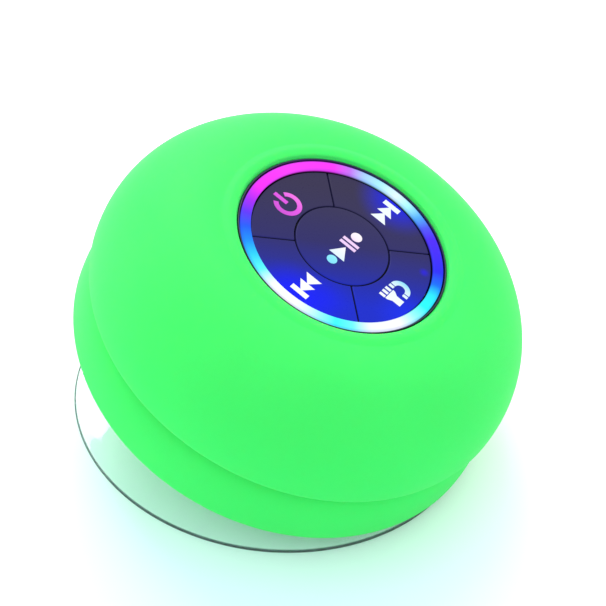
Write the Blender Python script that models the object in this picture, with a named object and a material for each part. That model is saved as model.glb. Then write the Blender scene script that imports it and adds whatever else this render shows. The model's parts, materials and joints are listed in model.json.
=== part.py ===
"""Waterproof shower speaker on a suction cup.

The suction cup stands on its rim in the plane z = 0.  A ball stud in its boss carries the
housing, which leans on the ball until its lower edge almost reaches the cup's skirt.
+X points from the centre of the control panel to the "next" key, +Y to the power key.

All sizes below are millimetres.  Heights of the housing's pieces are those of the upright
housing, measured from the cup's rim plane; the pivot empty then leans everything at once.
"""
import math

import bmesh
import bpy
from mathutils import Matrix, Vector

MM = 0.001                     # one millimetre in scene units

# ---- driving dimensions ---------------------------------------------------------------
PIVOT_Z = 12.0                 # centre of the ball above the rim plane
LEAN = math.radians(17.0)      # how far the housing leans towards -Y at rest
GAP = 0.3                      # running gap between neighbouring pieces

BODY_R = 43.0                  # outer radius of the housing
DOME_Z = 29.3                  # height of the dome's widest ring
DOME_H = 24.8                  # height of the dome's full outline above that ring
DOME_POWER = 2.24              # roundness of the dome's superellipse outline
CAP_R = 34.0                   # inside this radius the dome's top is flatter
CREASE = (23.7, 49.2)          # radius and height of the crease round the collar
TIER_R = 42.95                 # radius of the lower tier
TIER_Z = 16.0                  # height of the lower tier's widest ring
TIER_RISE = 10.2               # from that ring up to the groove
TIER_DROP = 3.0                # from that ring down to the floor cone
GROOVE_R = 39.3                # radius at the bottom of the groove
FLOOR_Z = 9.4                  # flat part of the floor
FLOOR_R = 20.0                 # where the floor starts to rise
FLOOR_SLOPE = 0.185            # rise of the floor cone
SKIN = 1.6                     # thickness of the silicone cover
WALL = 1.8                     # thickness of the plastic shells
LIP_R = 33.0                   # inner edge of the silicone cover's lower lip
SPLIT_Z = 24.0                 # top edge of the rear shell

PANEL_Z = 48.55                # top of the light ring
PANEL_R = 20.4                 # outer radius of the control panel
LIGHT_R = (17.9, 19.7)         # inner and outer radius of the light ring
KEY_R = 17.6                   # outer radius of the four sector keys
CENTRE_KEY_R = 9.1             # radius of the play/pause key
KEY_GAP = 0.3                  # gap between two keys
KEY_TOP = 47.85                # height of the keys' faces
KEY_THICK = 1.2
KEY_STEM_R = 1.1
KEY_STEM_Z = 45.75             # lower end of the keys' stems
BOARD_Z = (43.4, 44.4)         # main board, lower and upper face
BOARD_R = 25.0
LED_RING_R = 18.3              # radius on which the LEDs sit
LED_COUNT = 8

CUP_R = 40.9                   # rim radius of the suction cup
CUP_CEILING = 4.5              # height of the hollow under the cup's boss
BOSS_TOP = 6.5                 # top of the cup's boss
BALL_R = 5.0
STEM_R = 2.4
FOOT_R = 5.0
SOCKET_R = BALL_R + GAP

COIL_R = (6.0, 6.5)            # voice coil, inner and outer radius
MAGNET_R = 12.5
FLANGE_R = 20.3                # driver flange
FLANGE_Z = 19.6                # front face of the driver flange, which looks down

PORT_Z = 19.6                  # centre of the charging port, on the +X side
PORT_HALF = (6.2, 2.9)         # half width and half height of the port's cover
PORT_HINGE = (43.05, 16.45)    # radius and height of the cover's hinge axis

SHELL_SCREW_R = 28.0           # radius on which the housing screws sit
SHELL_SCREW_ANGLES = (90.0, 210.0, 330.0)

# ---- finishes -------------------------------------------------------------------------
COLOURS = {
    "silicone_green": ((0.07, 0.95, 0.17), 0.62, 0.0),
    "clear_pvc": ((0.80, 0.90, 0.87), 0.08, 0.0),
    "black_abs": ((0.03, 0.03, 0.04), 0.45, 0.0),
    "panel_gloss": ((0.02, 0.02, 0.06), 0.22, 0.0),
    "light_diffuser": ((0.30, 0.65, 0.95), 0.35, 0.0),
    "key_gloss": ((0.05, 0.04, 0.12), 0.25, 0.0),
    "keypad_rubber": ((0.55, 0.57, 0.60), 0.60, 0.0),
    "board_green": ((0.02, 0.18, 0.07), 0.40, 0.0),
    "chip_black": ((0.02, 0.02, 0.02), 0.50, 0.0),
    "steel": ((0.56, 0.57, 0.58), 0.30, 1.0),
    "led_white": ((0.90, 0.92, 0.95), 0.30, 0.0),
    "cell_foil": ((0.70, 0.71, 0.74), 0.35, 0.9),
    "foam": ((0.05, 0.05, 0.05), 0.90, 0.0),
    "cone_paper": ((0.06, 0.06, 0.06), 0.80, 0.0),
    "surround_rubber": ((0.03, 0.03, 0.03), 0.60, 0.0),
    "ferrite": ((0.10, 0.10, 0.11), 0.70, 0.0),
    "copper": ((0.80, 0.38, 0.20), 0.35, 1.0),
    "spider_cloth": ((0.62, 0.48, 0.22), 0.85, 0.0),
    "mesh_cloth": ((0.08, 0.08, 0.08), 0.80, 0.0),
    "wire_red": ((0.65, 0.03, 0.02), 0.45, 0.0),
    "wire_black": ((0.02, 0.02, 0.02), 0.45, 0.0),
}


# ---- helpers --------------------------------------------------------------------------
def clear_scene():
    for thing in list(bpy.data.objects):
        bpy.data.objects.remove(thing, do_unlink=True)


def finish(name):
    """The Principled material called name, made on first use."""
    found = bpy.data.materials.get(name)
    if found:
        return found
    colour, roughness, metallic = COLOURS[name]
    made = bpy.data.materials.new(name)
    made.use_nodes = True
    shader = made.node_tree.nodes["Principled BSDF"]
    shader.inputs["Base Color"].default_value = (*colour, 1.0)
    shader.inputs["Roughness"].default_value = roughness
    shader.inputs["Metallic"].default_value = metallic
    made.diffuse_color = (*colour, 1.0)
    return made


def add_object(name, data, frame, at):
    """Link data as an object under frame, with its origin at `at` (upright millimetres)."""
    thing = bpy.data.objects.new(name, data)
    bpy.context.collection.objects.link(thing)
    thing.location = Vector(at) * MM
    if frame is not None:
        thing.parent = frame
        thing.location -= Vector((0.0, 0.0, PIVOT_Z * MM))
    return thing


def from_bmesh(name, shape, look, frame, at):
    """Turn a bmesh in millimetres, given in upright coordinates, into an object at `at`."""
    bmesh.ops.translate(shape, verts=shape.verts, vec=-Vector(at))
    bmesh.ops.scale(shape, verts=shape.verts, vec=(MM, MM, MM))
    bmesh.ops.recalc_face_normals(shape, faces=shape.faces)
    mesh = bpy.data.meshes.new(name)
    shape.to_mesh(mesh)
    shape.free()
    mesh.materials.append(finish(look))
    mesh.shade_smooth()
    mesh.set_sharp_from_angle(angle=math.radians(35.0))
    return add_object(name, mesh, frame, at)


def lathe(name, outline, look, frame, steps=32, at=(0.0, 0.0, 0.0), centre=(0.0, 0.0)):
    """Turn a closed outline of (radius, height) points about the vertical through centre."""
    shape = bmesh.new()
    turn_outline(shape, outline, steps, centre)
    return from_bmesh(name, shape, look, frame, at)


def lathe_group(name, outline, places, look, frame, steps=12):
    """The same turned shape at several places, as one helper for a Boolean."""
    shape = bmesh.new()
    for centre in places:
        turn_outline(shape, outline, steps, centre)
    return from_bmesh(name, shape, look, frame, (0.0, 0.0, 0.0))


def turn_outline(shape, outline, steps, centre):
    """Add a turned outline to the bmesh; points at radius 0 become poles."""
    rings = []
    for radius, height in outline:
        if radius == 0.0:
            rings.append([shape.verts.new((centre[0], centre[1], height))])
            continue
        ring = []
        for step in range(steps):
            angle = 2.0 * math.pi * (step + 0.5) / steps
            x = centre[0] + radius * math.cos(angle)
            y = centre[1] + radius * math.sin(angle)
            ring.append(shape.verts.new((x, y, height)))
        rings.append(ring)
    for index, ring in enumerate(rings):
        other = rings[(index + 1) % len(rings)]
        for step in range(steps):
            following = (step + 1) % steps
            if len(ring) == 1 and len(other) == 1:
                break
            if len(ring) == 1:
                shape.faces.new((ring[0], other[step], other[following]))
            elif len(other) == 1:
                shape.faces.new((ring[step], other[0], ring[following]))
            else:
                shape.faces.new((ring[step], other[step], other[following], ring[following]))


def prism(name, outline, low, high, look, frame, at=(0.0, 0.0, 0.0)):
    """Raise a closed outline of (x, y) points from low to high."""
    shape = bmesh.new()
    floor = [shape.verts.new((x, y, low)) for x, y in outline]
    base = shape.faces.new(floor)
    raised = bmesh.ops.extrude_face_region(shape, geom=[base])["geom"]
    top = [piece for piece in raised if isinstance(piece, bmesh.types.BMVert)]
    bmesh.ops.translate(shape, verts=top, vec=(0.0, 0.0, high - low))
    return from_bmesh(name, shape, look, frame, at)


def block(name, low, high, look, frame, at=(0.0, 0.0, 0.0)):
    """An upright box between two corners."""
    corners = [(low[0], low[1]), (high[0], low[1]), (high[0], high[1]), (low[0], high[1])]
    return prism(name, corners, low[2], high[2], look, frame, at)


def cylinder(name, radius, low, high, look, frame, centre=(0.0, 0.0), steps=16, at=None):
    outline = [(0.0, low), (radius, low), (radius, high), (0.0, high)]
    origin = (centre[0], centre[1], low) if at is None else at
    return lathe(name, outline, look, frame, steps, origin, centre)


def bevel(thing, width, segments=2, angle=35.0):
    modifier = thing.modifiers.new("bevel", "BEVEL")
    modifier.width = width * MM
    modifier.segments = segments
    modifier.limit_method = "ANGLE"
    modifier.angle_limit = math.radians(angle)
    return thing


def combine(thing, helper, operation, solver="EXACT"):
    """Cut or join helper into thing and leave it out of the finished model."""
    modifier = thing.modifiers.new(operation.lower(), "BOOLEAN")
    modifier.operation = operation
    modifier.solver = solver
    modifier.object = helper
    helper.hide_render = True
    helper.display_type = "WIRE"
    return thing


def wire(name, points, radius, look, frame):
    """A short insulated lead through the given upright points."""
    curve = bpy.data.curves.new(name, "CURVE")
    curve.dimensions = "3D"
    curve.bevel_depth = radius * MM
    curve.bevel_resolution = 2
    curve.use_fill_caps = True
    curve.materials.append(finish(look))
    route = smooth_route(points, 2)
    spline = curve.splines.new("POLY")
    spline.points.add(len(route) - 1)
    for point, place in zip(spline.points, route):
        point.co = (*(place * MM), 1.0)
    return add_object(name, curve, frame, (0.0, 0.0, 0.0))


def smooth_route(points, parts):
    """Points on a Catmull-Rom curve through the given ones."""
    knots = [Vector(point) for point in points]
    knots = [2.0 * knots[0] - knots[1]] + knots + [2.0 * knots[-1] - knots[-2]]
    route = []
    for index in range(1, len(knots) - 2):
        before, start, end, after = knots[index - 1:index + 3]
        for part in range(parts):
            t = part / parts
            tangent = (end - before) * t
            bend = (2.0 * before - 5.0 * start + 4.0 * end - after) * t * t
            twist = (3.0 * start - before - 3.0 * end + after) * t ** 3
            route.append(start + 0.5 * (tangent + bend + twist))
    route.append(knots[-2])
    return route


def polar(radius, degrees):
    angle = math.radians(degrees)
    return (radius * math.cos(angle), radius * math.sin(angle))


def arc(centre, radius, start, end, parts):
    """Points of an arc; radius may be a pair of semi-axes, angles are degrees."""
    across, up = radius if isinstance(radius, tuple) else (radius, radius)
    points = []
    for part in range(parts + 1):
        angle = math.radians(start + (end - start) * part / parts)
        points.append((centre[0] + across * math.cos(angle), centre[1] + up * math.sin(angle)))
    return points


def ellipse_height(radius, inset=0.0):
    """Height of the dome's superellipse, or of one `inset` inside it, at a radius."""
    share = (radius / (BODY_R - inset)) ** DOME_POWER
    return DOME_Z + (DOME_H - inset) * max(0.0, 1.0 - share) ** (1.0 / DOME_POWER)


def dome_height(radius, inset=0.0):
    """Height of the dome's surface: the superellipse, eased into the crease at the top."""
    if radius >= CAP_R:
        return ellipse_height(radius, inset)
    width = CAP_R - CREASE[0]
    slope = (ellipse_height(CAP_R - 0.1) - ellipse_height(CAP_R)) / 0.1 * width
    t = (CAP_R - radius) / width
    edge = ellipse_height(CAP_R)
    cap = edge * (1.0 + 2.0 * t) * (1.0 - t) ** 2 + slope * t * (1.0 - t) ** 2
    cap += CREASE[1] * t * t * (3.0 - 2.0 * t)
    return min(cap - inset, ellipse_height(radius, inset))


def dome_outline(inner, inset, parts):
    """Dome points from an inner radius down to its widest ring."""
    outer = BODY_R - inset
    start = math.acos(inner / outer)
    radii = [outer * math.cos(start * (1.0 - part / parts)) for part in range(parts)]
    return [(radius, dome_height(radius, inset)) for radius in radii] + [(outer, DOME_Z)]


def tier_radius(height):
    """Outer radius of the lower tier between its widest ring and the groove."""
    share = ((height - TIER_Z) / TIER_RISE) ** 2.2
    return GROOVE_R + (TIER_R - GROOVE_R) * math.sqrt(max(0.0, 1.0 - share))


def floor_height(radius):
    return FLOOR_Z + FLOOR_SLOPE * max(0.0, radius - FLOOR_R)


# ---- suction cup and ball ---------------------------------------------------------------
def make_cup():
    """Clear cup: thin skirt on a flat rim, thicker boss with a pocket for the stud's foot."""
    pocket_r = FOOT_R + GAP
    bore_r = STEM_R + GAP
    pocket_top = CUP_CEILING + 1.0
    outline = [
        (bore_r, BOSS_TOP), (6.5, BOSS_TOP), (8.0, 6.1), (11.0, 5.2), (14.0, 4.2), (18.0, 3.1),
        (22.5, 2.5), (27.0, 1.95), (31.5, 1.45), (35.0, 1.1), (38.0, 0.85), (CUP_R - 0.3, 0.75),
        (CUP_R, 0.4), (CUP_R - 0.2, 0.0), (38.4, 0.0), (35.0, 0.25), (31.0, 0.55),
        (26.5, 1.0), (22.0, 1.4), (18.0, 1.9), (14.0, 2.8), (11.4, 3.9), (10.2, CUP_CEILING),
        (pocket_r, CUP_CEILING), (pocket_r, pocket_top), (bore_r, pocket_top),
    ]
    lathe("suction_cup", outline, "clear_pvc", None, 36)


def make_ball_stud():
    """Foot disc, stem and ball in one piece, standing in the cup's boss."""
    foot_top = CUP_CEILING + 0.7
    neck = math.degrees(math.asin(STEM_R / BALL_R))
    outline = [(0.0, CUP_CEILING), (FOOT_R, CUP_CEILING), (FOOT_R, foot_top), (STEM_R, foot_top)]
    outline += arc((0.0, PIVOT_Z), BALL_R, neck - 90.0, 80.0, 8)
    outline += [(0.0, PIVOT_Z + BALL_R)]
    lathe("ball_stud", outline, "black_abs", None, 16, (0.0, 0.0, PIVOT_Z))


# ---- housing shells -----------------------------------------------------------------------
def make_cover(frame):
    """Silicone cover: collar round the panel, dome, groove, lower tier and turned-in lip."""
    collar_r = PANEL_R + 0.15
    outline = [(collar_r, 48.0), (collar_r, 48.9), (21.0, 49.35), (21.7, 49.55),
               (22.5, 49.55), (23.2, 49.3), CREASE]
    outline += dome_outline(25.4, 0.0, 9)
    outline += arc((BODY_R - 3.4, DOME_Z), (3.4, 2.5), -20.0, -80.0, 3)
    outline += [(GROOVE_R, TIER_Z + TIER_RISE + 0.2)]
    for share in (0.97, 0.85, 0.6, 0.3, 0.0):
        height = TIER_Z + TIER_RISE * share
        outline.append((tier_radius(height), height))
    outline += arc((TIER_R - 3.95, TIER_Z), (3.95, TIER_DROP), -20.0, -75.0, 3)
    outline += [(36.5, floor_height(36.5)), (LIP_R, floor_height(LIP_R))]
    outline += [(LIP_R, floor_height(LIP_R) + SKIN), (39.3, floor_height(39.3) + SKIN)]
    for share in (0.0, 0.5, 0.86):
        height = TIER_Z + TIER_RISE * share
        outline.append((tier_radius(height) - SKIN, height))
    outline += [(GROOVE_R - SKIN, TIER_Z + TIER_RISE), (GROOVE_R - SKIN, 27.4)]
    outline += [(38.9, 28.7), (41.0, 29.6)]
    outline += reversed(dome_outline(25.2, SKIN, 5)[:-1])
    outline += [(23.2, 48.0)]
    cover = lathe("silicone_cover", outline, "silicone_green", frame, 36)
    half_width, half_height = PORT_HALF
    low = (39.0, -half_width - GAP, PORT_Z - half_height - GAP)
    high = (45.0, half_width + GAP, PORT_Z + half_height + GAP)
    combine(cover, block("port_window", low, high, "silicone_green", frame), "DIFFERENCE")


def make_front_shell(frame):
    """Dome shell with the panel's neck, a skirt that laps into the rear shell, screw posts."""
    inset = SKIN + GAP
    neck_r = PANEL_R + 0.35
    skirt_r = GROOVE_R - inset
    outline = [(neck_r, 44.7), (neck_r, 47.6), (23.4, 47.6)]
    outline += dome_outline(25.0, inset, 5)[:-1]
    outline += [(40.6, 30.3), (38.5, 29.2), (skirt_r, 27.9), (skirt_r, 21.5)]
    outline += [(skirt_r - WALL, 21.5), (skirt_r - WALL, 29.0), (39.0, 31.0)]
    outline += reversed(dome_outline(25.0, inset + WALL, 4)[:-1])
    outline += [(22.5, 45.7), (22.5, 44.7)]
    shell = lathe("front_shell", outline, "black_abs", frame, 28)
    top = dome_height(SHELL_SCREW_R, inset) - 0.6 * WALL
    post = [(0.0, 15.3), (2.5, 15.3), (2.5, top), (0.0, top)]
    bore = [(0.0, 14.0), (1.3, 14.0), (1.3, 24.0), (0.0, 24.0)]
    places = screw_places()
    combine(shell, lathe_group("screw_posts", post, places, "black_abs", frame), "UNION")
    combine(shell, lathe_group("screw_bores", bore, places, "black_abs", frame, 8), "DIFFERENCE")


def screw_places():
    return [polar(SHELL_SCREW_R, angle) for angle in SHELL_SCREW_ANGLES]


def make_rear_shell(frame):
    """Floor with the ball's mouth and sound slots, driver seat ring, and the lower wall."""
    inset = SKIN + GAP
    step_r = LIP_R - GAP
    mouth = arc((0.0, PIVOT_Z), SOCKET_R, 0.0, -38.0, 4)
    seat = (17.2, 19.0)
    outline = [(8.4, PIVOT_Z)] + mouth
    outline += [(6.6, FLOOR_Z), (FLOOR_R, FLOOR_Z), (step_r, floor_height(step_r))]
    outline += [(step_r, floor_height(step_r) + inset), (39.0, floor_height(39.0) + inset)]
    for share in (0.04, 0.35, 0.78):
        height = TIER_Z + TIER_RISE * share
        outline.append((tier_radius(height) - inset, height))
    outline[-1] = (outline[-1][0], SPLIT_Z)
    outline += [(outline[-1][0] - WALL, SPLIT_Z)]
    outline += [(TIER_R - inset - WALL, 18.6), (TIER_R - inset - WALL, 16.8)]
    outline += [(38.0, floor_height(38.0) + inset + WALL)]
    outline += [(21.6, floor_height(21.6) + inset + WALL)]
    outline += [(seat[1] + 0.6, floor_height(21.6) + inset + WALL - 0.4)]
    outline += [(seat[1], 18.3), (seat[0], 18.3)]
    outline += [(seat[0], FLOOR_Z + WALL), (8.4, FLOOR_Z + WALL)]
    shell = lathe("rear_shell", outline, "black_abs", frame, 28)
    boss = [(0.0, 13.6), (3.9, 13.6), (3.9, 15.0), (0.0, 15.0)]
    sink = [(0.0, 8.0), (2.9, 8.0), (2.9, 14.2), (1.5, 14.2), (1.5, 16.0), (0.0, 16.0)]
    places = screw_places()
    combine(shell, lathe_group("screw_bosses", boss, places, "black_abs", frame), "UNION")
    combine(shell, lathe_group("counterbores", sink, places, "black_abs", frame), "DIFFERENCE")
    half_width, half_height = PORT_HALF[0] - 1.4, PORT_HALF[1] - 0.5
    low = (36.0, -half_width, PORT_Z - half_height)
    high = (45.0, half_width, PORT_Z + half_height)
    combine(shell, block("port_hole", low, high, "black_abs", frame), "DIFFERENCE", "MANIFOLD")
    combine(shell, make_slots(frame), "DIFFERENCE", "MANIFOLD")


def make_slots(frame):
    """Cutter for the ring of radial sound slots in the floor."""
    shape = bmesh.new()
    count = 12
    inner, outer, half = 10.4, 16.0, 0.9
    for index in range(count):
        turn = Matrix.Rotation(2.0 * math.pi * (index + 0.5) / count, 4, "Z")
        size = Matrix.Diagonal((outer - inner, 2.0 * half, 6.0, 1.0))
        place = Matrix.Translation(((inner + outer) / 2.0, 0.0, FLOOR_Z + 0.5))
        bmesh.ops.create_cube(shape, size=1.0, matrix=turn @ place @ size)
    return from_bmesh("sound_slots", shape, "black_abs", frame, (0.0, 0.0, 0.0))


def make_socket_cap(frame):
    """Domed retainer over the ball, seated on the rear shell's mouth ring."""
    low = PIVOT_Z + GAP
    start = math.degrees(math.asin(GAP / SOCKET_R))
    outer_r = SOCKET_R + 1.5
    outline = arc((0.0, PIVOT_Z), SOCKET_R, start, 80.0, 6) + [(0.0, PIVOT_Z + SOCKET_R)]
    outline += [(0.0, PIVOT_Z + outer_r)] + arc((0.0, PIVOT_Z), outer_r, 78.0, 20.0, 5)
    outline += [(8.4, low + 1.6), (8.4, low)]
    lathe("socket_cap", outline, "black_abs", frame, 16)


def make_housing_seal(frame):
    """Rubber ring that rests on the rear shell's edge, round the front shell's skirt."""
    inner = GROOVE_R - SKIN
    low = SPLIT_Z + GAP
    outline = [(inner, low), (inner + 1.1, low), (inner + 1.1, low + 0.7), (inner, low + 0.7)]
    lathe("housing_seal", outline, "surround_rubber", frame, 28)


def make_housing_screws(frame):
    outline = [(0.0, 13.05), (2.0, 13.05), (2.3, 13.3), (2.3, 14.1), (1.0, 14.1), (1.0, 22.0),
               (0.0, 22.6)]
    for index, centre in enumerate(screw_places()):
        origin = (*centre, 13.1)
        lathe(f"housing_screw_{index + 1}", outline, "steel", frame, 10, origin, centre)


# ---- control panel ------------------------------------------------------------------------
def make_panel(frame):
    """Dark ring that holds the light ring, and the web that the keys' stems pass through."""
    wall_r = PANEL_R - 0.4
    ledge_r = LIGHT_R[1] - 0.35
    ring = [(ledge_r, 44.7), (PANEL_R, 44.7), (PANEL_R, 48.6), (PANEL_R - 0.1, PANEL_Z + 0.15),
            (wall_r, PANEL_Z + 0.15), (wall_r, 45.3), (ledge_r, 45.3)]
    lathe("panel_ring", ring, "panel_gloss", frame, 36)
    inner, outer = LIGHT_R
    light = [(inner, 45.6), (outer, 45.6), (outer, PANEL_Z - 0.15), (outer - 0.2, PANEL_Z),
             (inner + 0.2, PANEL_Z), (inner, PANEL_Z - 0.15)]
    lathe("light_ring", light, "light_diffuser", frame, 36)
    hole_r = KEY_STEM_R + GAP
    web = lathe("keypad_web", [(hole_r, 45.5), (KEY_R, 45.5), (KEY_R, 46.1), (hole_r, 46.1)],
                "keypad_rubber", frame, 24)
    hole = [(0.0, 45.0), (hole_r, 45.0), (hole_r, 47.0), (0.0, 47.0)]
    places = [place for name, place in key_places().items() if name != "play_pause"]
    combine(web, lathe_group("web_holes", hole, places, "keypad_rubber", frame, 10),
            "DIFFERENCE")


def key_places():
    """Centres of the keys' stems; the four sector keys lie on one circle."""
    middle = (CENTRE_KEY_R + KEY_GAP + KEY_R) / 2.0
    return {
        "play_pause": (0.0, 0.0),
        "next": polar(middle, 0.0),
        "power": polar(middle, 90.0),
        "previous": polar(middle, 180.0),
        "phone_light": polar(middle, 270.0),
    }


def sector_outline(direction):
    """Outline of one sector key: two arcs and two straight edges along the split lines."""
    inner = CENTRE_KEY_R + KEY_GAP
    half_gap = KEY_GAP / 2.0
    points = []
    for radius, sweep, parts in ((KEY_R, 1.0, 10), (inner, -1.0, 7)):
        limit = 45.0 - math.degrees(math.asin(half_gap / radius))
        points += arc((0.0, 0.0), radius, direction - sweep * limit, direction + sweep * limit,
                      parts)
    return points


def make_keys(frame):
    """Five keys; each slides into the panel and pushes a switch with its stem."""
    under = KEY_TOP - KEY_THICK
    directions = {"next": 0.0, "power": 90.0, "previous": 180.0, "phone_light": 270.0}
    for name, place in key_places().items():
        origin = (*place, KEY_TOP)
        if name == "play_pause":
            outline = [(0.0, KEY_STEM_Z), (KEY_STEM_R, KEY_STEM_Z), (KEY_STEM_R, under),
                       (CENTRE_KEY_R, under), (CENTRE_KEY_R, KEY_TOP - 0.12),
                       (CENTRE_KEY_R - 0.12, KEY_TOP), (0.0, KEY_TOP)]
            lathe(f"key_{name}", outline, "key_gloss", frame, 28, origin)
            continue
        cap = prism(f"key_{name}", sector_outline(directions[name]), under, KEY_TOP,
                    "key_gloss", frame, origin)
        stem = cylinder(f"stem_{name}", KEY_STEM_R, KEY_STEM_Z, under + 0.5, "key_gloss", frame,
                        place, 12)
        combine(cap, stem, "UNION")


# ---- electronics --------------------------------------------------------------------------
def make_board(frame):
    """Main board with switches and LEDs above, radio module and amplifier below."""
    low, high = BOARD_Z
    lathe("main_board", [(0.0, low), (BOARD_R, low), (BOARD_R, high), (0.0, high)],
          "board_green", frame, 24)
    seat = high + 0.1
    for name, (x, y) in key_places().items():
        outline = [(0.0, seat), (1.7, seat), (1.7, seat + 0.6), (0.7, seat + 0.6),
                   (0.7, seat + 0.8), (0.0, seat + 0.8)]
        lathe(f"switch_{name}", outline, "steel", frame, 8, (x, y, seat), (x, y))
    for index in range(LED_COUNT):
        x, y = polar(LED_RING_R, 360.0 * (index + 0.5) / LED_COUNT)
        block(f"led_{index + 1}", (x - 0.6, y - 0.6, seat), (x + 0.6, y + 0.6, seat + 0.7),
              "led_white", frame, (x, y, seat))
    under = low - 0.1
    bevel(block("bluetooth_module", (-6.5, 12.8, under - 1.8), (6.5, 21.0, under), "steel",
                frame), 0.3, 1)
    bevel(block("amplifier_chip", (-3.0, -17.2, under - 1.4), (3.0, -13.0, under), "chip_black",
                frame), 0.2, 1)


def make_battery(frame):
    """Flat lithium cell on a foam pad above the driver, with its two leads."""
    block("battery_pad", (-11.0, -9.0, 37.1), (11.0, 9.0, 37.8), "foam", frame)
    bevel(block("battery", (-15.0, -11.0, 38.1), (15.0, 11.0, 42.8), "cell_foil", frame), 1.0, 3)
    for side, name in ((1.0, "red"), (-1.0, "black")):
        points = [(-15.3, 1.6 * side, 40.5), (-16.8, 1.7 * side, 40.6),
                  (-18.2, 2.0 * side, 41.6), (-18.6, 2.2 * side, 43.1)]
        wire(f"battery_lead_{name}", points, 0.45, f"wire_{name}", frame)


def make_charging(frame):
    """Charging board with its socket and the microphone, on the +X side, and its lead."""
    board_z = PORT_Z - 2.4
    block("charge_board", (24.0, -7.0, board_z), (36.0, 7.0, board_z + 1.0), "board_green",
          frame)
    bevel(block("usb_socket", (33.4, -3.75, board_z + 1.1), (39.9, 3.75, board_z + 3.7), "steel",
                frame), 0.5, 2)
    cylinder("microphone", 2.0, board_z + 1.1, board_z + 2.6, "steel", frame, (28.5, -4.0), 16)
    points = [(25.6, 3.5, board_z + 1.3), (25.2, 3.5, 21.0), (24.2, 3.6, 26.0),
              (23.0, 3.8, 33.0), (22.4, 4.0, 39.0), (22.2, 4.0, 43.1)]
    wire("charge_lead", points, 0.6, "wire_black", frame)


def make_port_cover(frame):
    """Silicone flap in the cover's window; it swings down on its lower edge."""
    half_width, half_height = PORT_HALF
    shape = bmesh.new()
    columns = 6
    loops = []
    for column in range(columns + 1):
        y = half_width * (2.0 * column / columns - 1.0)
        loop = []
        for inner, share in ((True, -1.0), (True, 1.0), (False, 1.0), (False, 0.0), (False, -1.0)):
            height = PORT_Z + half_height * share
            radius = TIER_R - SKIN + 0.1 if inner else tier_radius(height)
            loop.append(shape.verts.new((math.sqrt(radius ** 2 - y ** 2), y, height)))
        loops.append(loop)
    shape.faces.new(loops[0])
    shape.faces.new(loops[-1])
    for loop, following in zip(loops, loops[1:]):
        for index in range(len(loop)):
            after = (index + 1) % len(loop)
            shape.faces.new((loop[index], loop[after], following[after], following[index]))
    radius, height = PORT_HINGE
    flap = from_bmesh("port_cover", shape, "silicone_green", frame, (radius, 0.0, height))
    nub = block("port_plug", (40.3, -3.4, PORT_Z - 1.0), (41.9, 3.4, PORT_Z + 1.0),
                "silicone_green", frame)
    combine(flap, nub, "UNION")


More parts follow.
